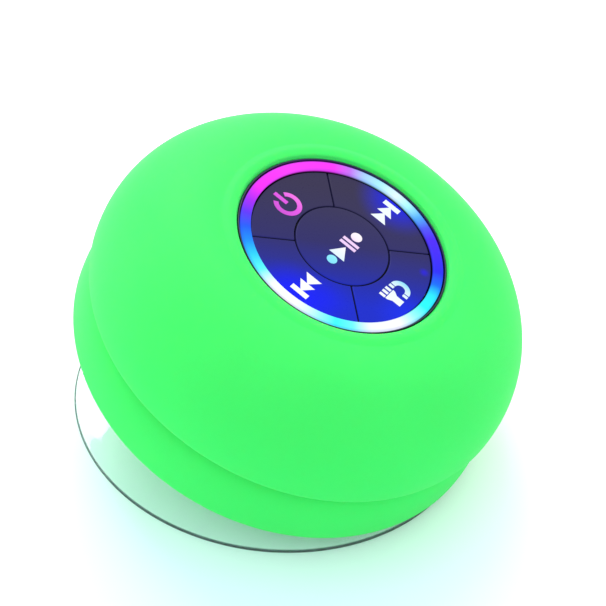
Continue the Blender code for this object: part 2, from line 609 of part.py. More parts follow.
# ---- loudspeaker driver, looking down -------------------------------------------------------
def make_driver(frame, piston):
    """Frame and motor are fixed; the cone, dust cap and coil ride on the piston empty."""
    front, back = FLANGE_Z, FLANGE_Z + 8.4
    basket = [(18.9, front), (FLANGE_R, front), (FLANGE_R, front + 1.2), (19.6, front + 1.2),
              (13.4, back), (13.4, back + 1.0), (8.0, back + 1.0), (8.0, back), (12.3, back),
              (18.6, front + 1.2), (18.9, front + 1.2)]
    lathe("driver_frame", basket, "black_abs", frame, 24)
    gasket = [(17.4, 18.6), (19.9, 18.6), (19.9, 19.3), (17.4, 19.3)]
    lathe("driver_gasket", gasket, "foam", frame, 24)
    plate = back + 1.3
    gap_r = COIL_R[1] + 0.4
    lathe("top_plate", [(gap_r, plate), (MAGNET_R, plate), (MAGNET_R, plate + 1.4),
                        (gap_r, plate + 1.4)], "steel", frame, 20)
    magnet = plate + 1.7
    lathe("driver_magnet", [(8.2, magnet), (MAGNET_R, magnet), (MAGNET_R, magnet + 3.6),
                            (8.2, magnet + 3.6)], "ferrite", frame, 20)
    yoke = magnet + 3.9
    pole_r = COIL_R[0] - 0.4
    lathe("driver_yoke", [(0.0, plate), (pole_r, plate), (pole_r, yoke), (MAGNET_R - 0.3, yoke),
                          (MAGNET_R - 0.3, yoke + 1.2), (0.0, yoke + 1.2)],
          "steel", frame, 20)
    apex = front + 5.0
    cone = [(COIL_R[1] + 0.2, apex), (15.4, front + 1.0), (15.6, front + 1.0),
            (15.6, front + 1.5), (COIL_R[1] + 0.2, apex + 0.6)]
    lathe("driver_cone", cone, "cone_paper", piston, 24)
    dome = [(0.0, apex - 2.2), (2.6, apex - 1.95), (4.6, apex - 1.2), (6.1, apex - 0.1),
            (6.1, apex + 0.3), (4.4, apex - 0.8), (2.4, apex - 1.5), (0.0, apex - 1.75)]
    lathe("dust_cap", dome, "cone_paper", piston, 16)
    coil = [(COIL_R[0], apex + 0.6), (COIL_R[1], apex + 0.6), (COIL_R[1], plate + 2.2),
            (COIL_R[0], plate + 2.2)]
    lathe("voice_coil", coil, "copper", piston, 20)
    roll = [(15.9, front + 1.0), (16.4, front + 0.4), (17.2, front + 0.2), (18.0, front + 0.5),
            (18.6, front + 1.0), (18.3, front + 1.3), (17.9, front + 0.9), (17.2, front + 0.6),
            (16.6, front + 0.8), (15.9, front + 1.5)]
    lathe("cone_surround", roll, "surround_rubber", piston, 20)
    spider_z = apex + 1.8
    spider = [(6.8, spider_z), (8.0, spider_z + 0.5), (9.2, spider_z), (10.4, spider_z + 0.5),
              (11.6, spider_z), (11.6, spider_z + 0.4), (10.4, spider_z + 0.9),
              (9.2, spider_z + 0.4), (8.0, spider_z + 0.9), (6.8, spider_z + 0.4)]
    lathe("spider", spider, "spider_cloth", piston, 16)
    for side, name in ((1.0, "red"), (-1.0, "black")):
        points = [(-13.9, 2.2 * side, back + 0.5), (-16.0, 2.5 * side, back + 0.9),
                  (-19.0, 3.0 * side, 32.0), (-20.6, 4.0 * side, 37.0),
                  (-21.0, 5.0 * side, 41.0), (-21.0, 5.4 * side, 43.1)]
        wire(f"speaker_lead_{name}", points, 0.45, f"wire_{name}", frame)
    lathe("speaker_mesh", [(8.8, 11.5), (16.9, 11.5), (16.9, 11.8), (8.8, 11.8)], "mesh_cloth",
          frame, 24)


def main():
    clear_scene()
    housing = bpy.data.objects.new("housing_pivot", None)
    bpy.context.collection.objects.link(housing)
    housing.location = (0.0, 0.0, PIVOT_Z * MM)
    housing.rotation_euler = (LEAN, 0.0, 0.0)
    piston = bpy.data.objects.new("piston_axis", None)
    bpy.context.collection.objects.link(piston)
    piston.parent = housing
    make_cup()
    make_ball_stud()
    make_cover(housing)
    make_front_shell(housing)
    make_rear_shell(housing)
    make_socket_cap(housing)
    make_housing_seal(housing)
    make_housing_screws(housing)
    make_panel(housing)
    make_keys(housing)
    make_board(housing)
    make_battery(housing)
    make_charging(housing)
    make_port_cover(housing)
    make_driver(housing, piston)


main()
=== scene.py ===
"""Looks of the shower speaker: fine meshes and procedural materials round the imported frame."""
import json
import math

import bmesh
import bpy
from mathutils import Matrix, Vector


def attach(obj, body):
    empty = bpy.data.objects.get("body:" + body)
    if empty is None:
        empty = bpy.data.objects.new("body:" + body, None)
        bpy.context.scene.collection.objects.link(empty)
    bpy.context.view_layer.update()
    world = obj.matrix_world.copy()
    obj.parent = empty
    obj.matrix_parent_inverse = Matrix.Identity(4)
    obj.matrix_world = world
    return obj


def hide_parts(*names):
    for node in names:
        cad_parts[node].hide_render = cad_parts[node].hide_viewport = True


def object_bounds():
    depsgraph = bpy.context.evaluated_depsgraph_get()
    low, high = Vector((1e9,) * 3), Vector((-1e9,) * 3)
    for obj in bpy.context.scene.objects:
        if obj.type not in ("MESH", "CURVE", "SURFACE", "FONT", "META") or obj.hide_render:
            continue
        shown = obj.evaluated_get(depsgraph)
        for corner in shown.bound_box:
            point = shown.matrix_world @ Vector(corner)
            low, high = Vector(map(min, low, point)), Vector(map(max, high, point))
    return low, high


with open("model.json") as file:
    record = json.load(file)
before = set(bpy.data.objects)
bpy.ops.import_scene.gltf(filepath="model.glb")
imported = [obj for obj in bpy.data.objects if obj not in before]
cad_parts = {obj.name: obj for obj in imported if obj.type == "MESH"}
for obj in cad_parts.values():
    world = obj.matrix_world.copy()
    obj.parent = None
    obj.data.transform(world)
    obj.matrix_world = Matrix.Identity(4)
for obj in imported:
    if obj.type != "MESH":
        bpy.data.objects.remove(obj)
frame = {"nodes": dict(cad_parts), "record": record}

CAD_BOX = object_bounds()
MM = 0.001  # one millimetre in scene units

# ---- the housing's own upright frame, in millimetres ----
JOINTS = {joint["name"]: joint for joint in frame["record"]["behaviour"]["joints"]}
PIVOT = Vector(JOINTS["housing_tilt"]["pos_m"])
HOUSING_AXIS = Vector(JOINTS["cone_stroke"]["axis"])
LEAN = math.atan2(-HOUSING_AXIS.y, HOUSING_AXIS.z)
TO_WORLD = {
    "housing": Matrix.Translation(PIVOT) @ Matrix.Rotation(LEAN, 4, "X")
    @ Matrix.Translation(-PIVOT) @ Matrix.Scale(MM, 4),
    "cup": Matrix.Scale(MM, 4),
}
PIVOT_Z = PIVOT.z / MM


def upright_points(node, upright="housing"):
    back = TO_WORLD[upright].inverted()
    return [back @ vertex.co for vertex in frame["nodes"][node].data.vertices]


def measured(node, upright="housing"):
    """(smallest radius, largest radius, lowest, highest) of a node about the upright axis."""
    points = upright_points(node, upright)
    radii = [math.hypot(point.x, point.y) for point in points]
    heights = [point.z for point in points]
    return min(radii), max(radii), min(heights), max(heights)


LIP_R, BODY_R = measured("silicone_cover")[:2]
_, PANEL_R, _, PANEL_TOP = measured("panel_ring")
LIGHT_IN, LIGHT_OUT, LIGHT_LOW, LIGHT_TOP = measured("light_ring")
_, KEY_R, KEY_LOW, KEY_TOP = measured("key_next")
CENTRE_KEY_R = measured("key_play_pause")[1]
CUP_R = measured("suction_cup", "cup")[1]
BALL_R, NECK_R, CUP_CEILING = 5.0, 2.4, 4.5
GAP = 0.3
TINY = 1e-9  # a radius below it is on the axis

# outline constants of the housing, the same form as the CAD's
DOME_Z, DOME_H, DOME_POWER = 29.3, 24.8, 2.24
CAP_R, CREASE_R, CREASE_Z = 34.0, 23.7, 49.2
TIER_R, TIER_Z, TIER_RISE, TIER_DROP = 42.95, 16.0, 10.2, 3.0
GROOVE_R = 39.3
FLOOR_Z, FLOOR_R, FLOOR_SLOPE = 9.4, 20.0, 0.185
SKIN = 1.6


# ---- mesh helpers ----
def arc(centre, radius, start, end, parts):
    """Points of an arc; radius may be a pair of semi-axes, angles are degrees."""
    across, up = radius if isinstance(radius, tuple) else (radius, radius)
    points = []
    for part in range(parts + 1):
        angle = math.radians(start + (end - start) * part / parts)
        points.append((centre[0] + across * math.cos(angle), centre[1] + up * math.sin(angle)))
    return points


def polar(radius, degrees):
    angle = math.radians(degrees)
    return (radius * math.cos(angle), radius * math.sin(angle))


def rounded(outline, width, parts=3):
    """The outline with each corner replaced by a small curve of about the given width."""
    result = []
    count = len(outline)
    for index, point in enumerate(outline):
        here = Vector(point)
        before = Vector(outline[index - 1]) - here
        after = Vector(outline[(index + 1) % count]) - here
        turn = before.angle(after, 0.0) if before.length and after.length else 0.0
        on_axis = abs(here.x) < TINY
        if on_axis or turn > math.radians(150.0) or turn == 0.0:
            result.append(tuple(here))
            continue
        start = here + before.normalized() * min(width, before.length * 0.45)
        end = here + after.normalized() * min(width, after.length * 0.45)
        for part in range(parts + 1):
            t = part / parts
            corner = start * (1 - t) ** 2 + here * 2 * t * (1 - t) + end * t ** 2
            result.append(tuple(corner))
    return result


def turn_outline(shape, outline, steps, centre=(0.0, 0.0)):
    """Add a turned outline of (radius, height) points; points at radius 0 become poles."""
    rings = []
    for radius, height in outline:
        if abs(radius) < TINY:
            rings.append([shape.verts.new((centre[0], centre[1], height))])
            continue
        ring = []
        for step in range(steps):
            angle = 2.0 * math.pi * step / steps
            place = (centre[0] + radius * math.cos(angle), centre[1] + radius * math.sin(angle),
                     height)
            ring.append(shape.verts.new(place))
        rings.append(ring)
    for index, ring in enumerate(rings):
        other = rings[(index + 1) % len(rings)]
        for step in range(steps):
            following = (step + 1) % steps
            if len(ring) == 1 and len(other) == 1:
                break
            if len(ring) == 1:
                shape.faces.new((ring[0], other[step], other[following]))
            elif len(other) == 1:
                shape.faces.new((ring[step], other[0], ring[following]))
            else:
                shape.faces.new((ring[step], other[step], other[following], ring[following]))


def raise_outline(shape, outline, low, high):
    """Add a prism over a closed outline of (x, y) points."""
    floor = [shape.verts.new((x, y, low)) for x, y in outline]
    base = shape.faces.new(floor)
    walls = bmesh.ops.extrude_face_region(shape, geom=[base])["geom"]
    top = [piece for piece in walls if isinstance(piece, bmesh.types.BMVert)]
    bmesh.ops.translate(shape, verts=top, vec=(0.0, 0.0, high - low))


def link(name, data):
    """Object made from the data, linked to the scene."""
    made = bpy.data.objects.new(name, data)
    bpy.context.collection.objects.link(made)
    return made


def to_mesh(name, shape):
    """Mesh made from the bmesh, which is freed."""
    mesh = bpy.data.meshes.new(name)
    shape.to_mesh(mesh)
    shape.free()
    return mesh


def write_upright(mesh, back):
    """Give each vertex its upright coordinates, which the materials read."""
    old = mesh.attributes.get("upright")
    if old:
        mesh.attributes.remove(old)
    kept = mesh.attributes.new("upright", "FLOAT_VECTOR", "POINT")
    for vertex in mesh.vertices:
        kept.data[vertex.index].vector = back @ vertex.co


def slot_name(material):
    """The material's name without the number that Blender adds to a repeated one."""
    return material.name.split(".")[0]


def add_piece(node, shape, look, body="housing", sharp=32.0):
    """Make the bmesh, in upright millimetres, a piece that rides a body.

    Given a node's name it replaces that node; any other name is a piece of its own."""
    bmesh.ops.recalc_face_normals(shape, faces=shape.faces)
    replaced = node in frame["nodes"]
    name = f"{node}_fine" if replaced else node
    mesh = to_mesh(name, shape)
    mesh.materials.append(look)
    piece = link(name, mesh)
    write_upright(mesh, Matrix())
    mesh.transform(TO_WORLD["cup" if body in ("cup", "swivel") else "housing"])
    mesh.shade_smooth()
    mesh.set_sharp_from_angle(angle=math.radians(sharp))
    if replaced:
        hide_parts(node)
    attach(piece, body)
    return piece


def turned(node, outline, look, body="housing", steps=96, centre=(0.0, 0.0), corner=0.0,
           sharp=32.0):
    """The turned outline as a piece."""
    shape = bmesh.new()
    turn_outline(shape, rounded(outline, corner) if corner else outline, steps, centre)
    return add_piece(node, shape, look, body, sharp=sharp)


def prism(outline, low, high):
    """A new bmesh holding the prism over an outline."""
    shape = bmesh.new()
    raise_outline(shape, outline, low, high)
    return shape


def raised(height, *points):
    """The (radius, height) points moved up."""
    return [(radius, height + above) for radius, above in points]


def band(inner, outer, low, high):
    """Outline of a plain ring, or of a disc if the inner radius is 0."""
    return [(inner, low), (outer, low), (outer, high), (inner, high)]


def bevelled(piece, width, segments=3, angle=35.0):
    modifier = piece.modifiers.new("edge", "BEVEL")
    modifier.width = width * MM
    modifier.segments = segments
    modifier.limit_method = "ANGLE"
    modifier.angle_limit = math.radians(angle)
    return piece


# ---- material helpers ----
# A helper finds the node tree through any socket or node of it that is passed in.
def new_material(name, colour, roughness, metallic=0.0, **sockets):
    """A Principled material; socket names are given with underscores for spaces."""
    made = bpy.data.materials.new(name)
    made.use_nodes = True
    shader = made.node_tree.nodes["Principled BSDF"]
    values = {"Base_Color": (*colour, 1.0), "Roughness": roughness, "Metallic": metallic}
    for socket, value in {**values, **sockets}.items():
        shader.inputs[socket.replace("_", " ")].default_value = value
    return made, shader


def feed(shader, **values):
    """Link sockets to the shader's inputs, named with underscores for spaces."""
    for socket, value in values.items():
        shader.id_data.links.new(value, shader.inputs[socket.replace("_", " ")])


def add_node(member, kind, inputs=None, **settings):
    """A node in the member's tree; each input is a number, a colour or a socket."""
    tree = member.id_data
    made = tree.nodes.new(kind)
    for key, value in settings.items():
        setattr(made, key, value)
    for key, value in (inputs or {}).items():
        if isinstance(value, bpy.types.NodeSocket):
            tree.links.new(value, made.inputs[key])
        else:
            made.inputs[key].default_value = value
    return made


def upright_vector(member):
    return add_node(member, "ShaderNodeAttribute", attribute_name="upright").outputs["Vector"]


def object_vector(member):
    """Object coordinates scaled to millimetres, for the CAD's own meshes."""
    place = add_node(member, "ShaderNodeTexCoord").outputs["Object"]
    return add_node(place, "ShaderNodeVectorMath", {0: place, 1: (1.0 / MM,) * 3},
                    operation="MULTIPLY").outputs[0]


def split(vector):
    return add_node(vector, "ShaderNodeSeparateXYZ", {0: vector}).outputs


def flattened(vector):
    """The vector with no height."""
    x, y, _ = split(vector)
    return add_node(vector, "ShaderNodeCombineXYZ", {0: x, 1: y}).outputs[0]


def vector_maths(operation, vector, other=(0.0, 0.0, 0.0)):
    """The number that a vector operation gives."""
    return add_node(vector, "ShaderNodeVectorMath", {0: vector, 1: other},
                    operation=operation).outputs["Value"]


def maths(operation, value, *others):
    return add_node(value, "ShaderNodeMath", dict(enumerate((value, *others))),
                    operation=operation).outputs[0]


def noise(vector, scale, detail=3.0, roughness=0.5):
    return add_node(vector, "ShaderNodeTexNoise", {"Vector": vector, "Scale": scale,
                    "Detail": detail, "Roughness": roughness}).outputs["Fac"]


def remap(value, start, end, low=0.0, high=1.0, kind="SMOOTHSTEP"):
    """Map start..end to low..high."""
    return add_node(value, "ShaderNodeMapRange",
                    {"Value": value, "From Min": start, "From Max": end, "To Min": low,
                     "To Max": high}, interpolation_type=kind).outputs["Result"]


def spread(value, low, high):
    """Map a 0..1 value to low..high."""
    return remap(value, 0.0, 1.0, low, high, "LINEAR")


def linear(red, green, blue):
    """Linear colour from 8-bit display values."""
    def one(value):
        share = value / 255.0
        return share / 12.92 if share <= 0.04045 else ((share + 0.055) / 1.055) ** 2.4
    return (one(red), one(green), one(blue))


def ramp(value, stops):
    """Colour ramp through stops of a position and an 8-bit display colour."""
    made = add_node(value, "ShaderNodeValToRGB", {"Fac": value})
    elements = made.color_ramp.elements
    while len(elements) < len(stops):
        elements.new(0.5)
    for element, (position, *colour) in zip(elements, stops):
        element.position = position
        element.color = (*linear(*colour), 1.0)
    return made.outputs["Color"]


def mix(share, first, second):
    """Colour between two others, each a socket or a tuple."""
    first, second = ((*end, 1.0) if isinstance(end, tuple) else end for end in (first, second))
    return add_node(share, "ShaderNodeMix", {0: share, 6: first, 7: second},
                    data_type="RGBA").outputs[2]


def bump(shader, height, strength, distance):
    made = add_node(shader, "ShaderNodeBump",
                    {"Height": height, "Strength": strength, "Distance": distance * MM})
    feed(shader, Normal=made.outputs["Normal"])


def blend(share, first, second):
    """Make the surface a mix of two shaders."""
    either = add_node(share, "ShaderNodeMixShader",
                      {0: share, 1: first.outputs[0], 2: second.outputs[0]})
    feed(share.id_data.nodes["Material Output"], Surface=either.outputs[0])


# ---- outlines of the housing ----
def smooth_route(points, parts):
    """Points on a Catmull-Rom curve through the given ones."""
    knots = [Vector(point) for point in points]
    knots = [2.0 * knots[0] - knots[1]] + knots + [2.0 * knots[-1] - knots[-2]]
    route = []
    for index in range(1, len(knots) - 2):
        before, start, end, after = knots[index - 1:index + 3]
        for part in range(parts):
            t = part / parts
            tangent = (end - before) * t
            curve = (2.0 * before - 5.0 * start + 4.0 * end - after) * t * t
            twist = (3.0 * start - before - 3.0 * end + after) * t ** 3
            route.append(tuple(start + 0.5 * (tangent + curve + twist)))
    route.append(tuple(knots[-2]))
    return route


def ellipse_height(radius, inset=0.0):
    share = (radius / (BODY_R - inset)) ** DOME_POWER
    return DOME_Z + (DOME_H - inset) * max(0.0, 1.0 - share) ** (1.0 / DOME_POWER)


def dome_height(radius, inset=0.0):
    """Height of the dome's surface: the superellipse, eased into the crease at the top."""
    if radius >= CAP_R:
        return ellipse_height(radius, inset)
    width = CAP_R - CREASE_R
    slope = (ellipse_height(CAP_R - 0.1) - ellipse_height(CAP_R)) / 0.1 * width
    t = (CAP_R - radius) / width
    cap = ellipse_height(CAP_R) * (1.0 + 2.0 * t) * (1.0 - t) ** 2
    cap += slope * t * (1.0 - t) ** 2 + CREASE_Z * t * t * (3.0 - 2.0 * t)
    return min(cap - inset, ellipse_height(radius, inset))


def dome_outline(inner, inset, parts):
    """Dome points from an inner radius down to its widest ring."""
    outer = BODY_R - inset
    start = math.acos(inner / outer)
    radii = [outer * math.cos(start * (1.0 - part / parts)) for part in range(parts)]
    return [(radius, dome_height(radius, inset)) for radius in radii] + [(outer, DOME_Z)]


def tier_radius(height):
    share = (max(0.0, height - TIER_Z) / TIER_RISE) ** 2.2
    return GROOVE_R + (TIER_R - GROOVE_R) * math.sqrt(max(0.0, 1.0 - share))


def tier_point(share, inset=0.0):
    """(radius, height) on the lower tier's wall, at a share of its rise."""
    height = TIER_Z + TIER_RISE * share
    return tier_radius(height) - inset, height


def floor_height(radius):
    return FLOOR_Z + FLOOR_SLOPE * max(0.0, radius - FLOOR_R)


def on_floor(radius, lift=0.0):
    """(radius, height) on the sloping underside."""
    return radius, floor_height(radius) + lift


# ---- materials ----
def patchy(name, colour, roughness, shades, drift, grain, gloss, dents=None, metallic=0.0,
           vector=upright_vector, **sockets):
    """A colour drifting between two shades, with grain in its gloss and its surface.

    drift and grain are noise settings; dents are noise settings, strength and depth."""
    made, shader = new_material(name, colour, roughness, metallic, **sockets)
    place = vector(shader)
    feed(shader, Base_Color=mix(noise(place, *drift), *shades),
         Roughness=spread(noise(place, *grain), *gloss))
    if dents:
        bump(shader, noise(place, *dents[0]), *dents[1:])
    return made


def coarse(name, shades, gloss, metallic=0.0, grain=3.0, depth=0.02, strength=0.2):
    """Patchy material for the parts inside."""
    fine = (grain, 4.0, 0.6)
    return patchy(name, shades[0], gloss[0], shades, (0.35, 3.0), fine, gloss,
                  (fine, strength, depth), metallic, object_vector)


def clear_pvc():
    """Clear soft PVC with a painted dark shade line along its outer edge, which stands for the
    shade seen along the clear rim; light passes it, so what it stands on stays lit.
    """
    # rim is the colour of the painted shade line at the outer edge; the PVC itself is clear there
    clear, rim = (0.93, 0.985, 0.975), (0.022, 0.055, 0.058)
    made, shader = new_material("clear_pvc", clear, 0.04, IOR=1.46, Transmission_Weight=0.9)
    place = upright_vector(shader)
    reach = vector_maths("LENGTH", flattened(place))
    # painted shade: the outermost band of the cup is mixed to the dark rim colour
    feed(shader, Base_Color=mix(remap(reach, CUP_R - 0.5, CUP_R - 0.2), clear, rim),
         Roughness=spread(noise(place, 0.35, 4.0), 0.02, 0.07))
    bump(shader, noise(place, 0.5, 2.0), 0.05, 0.05)
    passed = add_node(shader, "ShaderNodeBsdfTransparent", {"Color": (0.90, 0.935, 0.945, 1.0)})
    path = add_node(shader, "ShaderNodeLightPath").outputs
    blend(maths("MAXIMUM", path["Is Shadow Ray"], path["Is Diffuse Ray"]), shader, passed)
    return made


LIGHT_COLOURS = (  # degrees round the ring, colour on a display
    (0, 221, 249, 255), (12, 166, 236, 255), (22, 166, 205, 255), (31, 196, 110, 240),
    (41, 244, 54, 246), (72, 252, 62, 246), (98, 244, 44, 250), (110, 165, 38, 248),
    (120, 92, 52, 253), (130, 30, 92, 252), (140, 24, 142, 255), (150, 44, 208, 250),
    (160, 90, 250, 255), (170, 240, 255, 255), (183, 255, 252, 246), (192, 225, 250, 252),
    (201, 150, 252, 255), (210, 55, 248, 255), (220, 110, 250, 255), (230, 240, 250, 252),
    (248, 252, 252, 255), (260, 150, 250, 250), (270, 40, 252, 250), (281, 40, 228, 255),
    (290, 16, 110, 255), (300, 42, 42, 248), (325, 80, 40, 246), (333, 80, 84, 242),
    (341, 80, 172, 248), (350, 162, 242, 254), (360, 221, 249, 255),
)


def top_only(height, top, depth):
    """1 at the top face, 0 further than the depth below it."""
    return remap(height, top - depth, top - depth * 0.3)


def light_diffuser():
    """Frosted ring lit by coloured LEDs, dimmer towards both edges."""
    made, shader = new_material("light_diffuser", (0.004, 0.004, 0.008), 0.45,
                                Specular_IOR_Level=0.03, Emission_Strength=1.1)
    place = upright_vector(shader)
    x, y, height = split(place)
    turn = maths("FRACT", maths("DIVIDE", maths("ARCTAN2", y, x), 2.0 * math.pi))
    colour = ramp(turn, [(degrees / 360.0, *shade) for degrees, *shade in LIGHT_COLOURS])
    reach = vector_maths("LENGTH", flattened(place))
    edge = maths("ABSOLUTE", maths("SUBTRACT", reach, (LIGHT_IN + LIGHT_OUT) / 2.0))
    dim = remap(edge, 0.5, (LIGHT_OUT - LIGHT_IN) / 2.0 + 0.2, 0.0, 0.30)
    grain = noise(place, 1.2, 3.0)
    glow = mix(spread(grain, 0.0, 0.10), mix(dim, colour, linear(40, 70, 200)), colour)
    glow = mix(top_only(height, LIGHT_TOP, 0.9), (0.0, 0.0, 0.002), glow)
    feed(shader, Emission_Color=glow, Roughness=spread(grain, 0.40, 0.52))
    return made


GLOW_SPOTS = (  # centre, reach, colour and strength of light inside the keys
    ((-18.0, -1.0), 9.5, (0, 16, 250), 1.0), ((-13.0, -5.0), 6.5, (0, 24, 240), 0.5),
    ((18.2, -1.0), 9.2, (10, 28, 220), 1.0), ((-4.0, -17.5), 7.2, (4, 40, 225), 0.9),
    ((7.75, -14.3), 1.3, (34, 22, 215), 0.8),
)


def key_gloss():
    """Dark glossy key; its painted glow is the LEDs' blue light shining up through it in soft
    patches, plus a greyish painted reflection of the bright room towards the next and power keys.
    """
    made, shader = new_material("key_gloss", (0.003, 0.002, 0.008), 0.28,
                                Specular_IOR_Level=0.06, Emission_Strength=1.15)
    place = upright_vector(shader)
    # painted glow across the keys: a greyish painted reflection of the bright room on the next and
    # power side, turning into the LEDs' blue light on the previous and phone side
    along = vector_maths("DOT_PRODUCT", place, (-0.75, -0.66, 0.0))
    glow = ramp(remap(along, -14.0, 14.0, kind="LINEAR"),
                [(0.0, 50, 46, 72), (0.2, 48, 45, 80), (0.5, 42, 41, 97), (0.68, 34, 40, 132),
                 (0.85, 20, 38, 168), (1.0, 12, 38, 192)])
    flat = flattened(place)
    for centre, reach, colour, most in GLOW_SPOTS:
        away = vector_maths("DISTANCE", flat, (*centre, 0.0))
        glow = mix(remap(away, reach, 0.0, 0.0, most), glow, linear(*colour))
    glow = mix(top_only(split(place)[2], KEY_TOP, 0.32), (0.006, 0.006, 0.024), glow)
    feed(shader, Emission_Color=glow, Roughness=spread(noise(place, 2.0, 4.0), 0.22, 0.36))
    return made


def icon_glow(name, stops, low, high):
    """Light shining through a symbol; its colour runs along X between two places."""
    made, shader = new_material(name, (0.02, 0.02, 0.02), 0.4, Specular_IOR_Level=0.1,
                                Emission_Strength=0.98)
    place = upright_vector(shader)
    colour = ramp(remap(split(place)[0], low, high, kind="LINEAR"), stops)
    feed(shader, Emission_Color=mix(spread(noise(place, 1.5), 0.0, 0.05), colour, (1.0,) * 3))
    return made


def circuit_board():
    """Green solder mask over fine traces, with round pads."""
    black, white = (0.0, 0.0, 0.0, 1.0), (1.0, 1.0, 1.0, 1.0)
    made, shader = new_material("board_green", (0.01, 0.12, 0.04), 0.35)
    place = object_vector(shader)
    bricks = add_node(place, "ShaderNodeTexBrick",
                      {"Vector": place, "Scale": 0.22, "Mortar Size": 0.02, "Color1": black,
                       "Color2": black, "Mortar": white})
    cells = add_node(place, "ShaderNodeTexVoronoi", {"Vector": place, "Scale": 0.45})
    pads = remap(cells.outputs["Distance"], 0.16, 0.13, kind="LINEAR")
    mask = mix(noise(place, 0.3), (0.006, 0.10, 0.035), (0.012, 0.16, 0.055))
    traced = mix(bricks.outputs["Color"], mask, (0.03, 0.30, 0.10))
    feed(shader, Base_Color=mix(pads, traced, (0.62, 0.50, 0.28)), Metallic=pads,
         Roughness=spread(noise(place, 2.0), 0.28, 0.45))
    return made


def woven(name, shades, roughness, pitch):
    """Cloth with crossing threads."""
    made, shader = new_material(name, shades[0], roughness, Sheen_Weight=0.2)
    place = object_vector(shader)
    waves = [add_node(place, "ShaderNodeTexWave", {"Vector": place, "Scale": pitch},
                      bands_direction=way).outputs["Fac"] for way in "XY"]
    threads = maths("MAXIMUM", *waves)
    feed(shader, Base_Color=mix(threads, *shades),
         Roughness=spread(noise(place, 4.0), roughness - 0.1, roughness + 0.08))
    bump(shader, threads, 0.5, 0.05)
    return made


def led_package():
    """White package with a yellow phosphor tint, faintly lit."""
    made = patchy("led_white", (0.8, 0.82, 0.85), 0.35,
                  ((0.85, 0.86, 0.84), (0.90, 0.78, 0.32)), (1.4,), (6.0,), (0.25, 0.45),
                  vector=object_vector, Emission_Strength=0.15)
    shader = made.node_tree.nodes["Principled BSDF"]
    feed(shader, Emission_Color=shader.inputs["Base Color"].links[0].from_socket)
    return made


def foil():
    """Crinkled silver pouch of the cell."""
    made = patchy("cell_foil", (0.72, 0.73, 0.75), 0.32,
                  ((0.62, 0.63, 0.66), (0.78, 0.79, 0.80)), (0.4,), (1.5,), (0.22, 0.42),
                  metallic=0.9, vector=object_vector)
    shader = made.node_tree.nodes["Principled BSDF"]
    creases = add_node(shader, "ShaderNodeTexVoronoi",
                       {"Vector": object_vector(shader), "Scale": 0.22},
                       feature="DISTANCE_TO_EDGE")
    bump(shader, creases.outputs["Distance"], 0.35, 0.12)
    return made


SILICONE = patchy("silicone_green", (0.038, 0.65, 0.104), 0.6,
                  ((0.036, 0.64, 0.099), (0.040, 0.67, 0.108)), (0.07, 2.0), (1.3, 4.0),
                  (0.56, 0.68), ((9.0, 2.0, 0.6), 0.12, 0.02), Specular_IOR_Level=0.2,
                  Subsurface_Weight=0.4, Subsurface_Scale=0.007)
PLASTIC = patchy("black_abs", (0.02, 0.02, 0.023), 0.42,
                 ((0.016, 0.016, 0.018), (0.028, 0.028, 0.032)), (0.4,), (5.0, 5.0, 0.65),
                 (0.34, 0.55), ((5.0, 5.0, 0.65), 0.25, 0.03))
PANEL = patchy("panel_gloss", (0.004, 0.006, 0.03), 0.22,
               ((0.003, 0.004, 0.024), (0.006, 0.010, 0.050)), (0.5,), (3.0, 4.0),
               (0.16, 0.30), Specular_IOR_Level=0.4)
PVC = clear_pvc()
DIFFUSER = light_diffuser()
KEY = key_gloss()
STEEL = coarse("steel", ((0.50, 0.51, 0.52), (0.62, 0.62, 0.63)), (0.22, 0.38), 1.0, 6.0, 0.01)
CHIP = coarse("chip_black", ((0.016, 0.016, 0.017), (0.030, 0.030, 0.032)), (0.42, 0.60))
FOAM = coarse("foam", ((0.035, 0.035, 0.036), (0.060, 0.060, 0.062)), (0.85, 0.97), 0.0, 2.2,
              0.15, 0.7)
PAPER = coarse("cone_paper", ((0.035, 0.035, 0.036), (0.060, 0.058, 0.055)), (0.70, 0.90), 0.0,
               1.6, 0.06, 0.5)
RUBBER = coarse("surround_rubber", ((0.018, 0.018, 0.019), (0.032, 0.032, 0.034)),
                (0.48, 0.66))
FERRITE = coarse("ferrite", ((0.06, 0.06, 0.065), (0.12, 0.12, 0.125)), (0.60, 0.85), 0.0, 1.4,
                 0.05, 0.5)
COPPER = coarse("copper", ((0.72, 0.30, 0.15), (0.85, 0.42, 0.22)), (0.25, 0.42), 1.0, 5.0)
WEB = coarse("keypad_rubber", ((0.010, 0.010, 0.022), (0.020, 0.020, 0.042)), (0.60, 0.76))
WIRE_RED = coarse("wire_red", ((0.52, 0.015, 0.012), (0.66, 0.03, 0.02)), (0.38, 0.52))
WIRE_BLACK = coarse("wire_black", ((0.014, 0.014, 0.015), (0.026, 0.026, 0.028)), (0.38, 0.52))
MESH_CLOTH = woven("mesh_cloth", ((0.03, 0.03, 0.03), (0.10, 0.10, 0.10)), 0.75, 2.6)
SPIDER = woven("spider_cloth", ((0.42, 0.30, 0.10), (0.66, 0.50, 0.22)), 0.85, 1.8)
BOARD = circuit_board()
LED = led_package()
FOIL = foil()


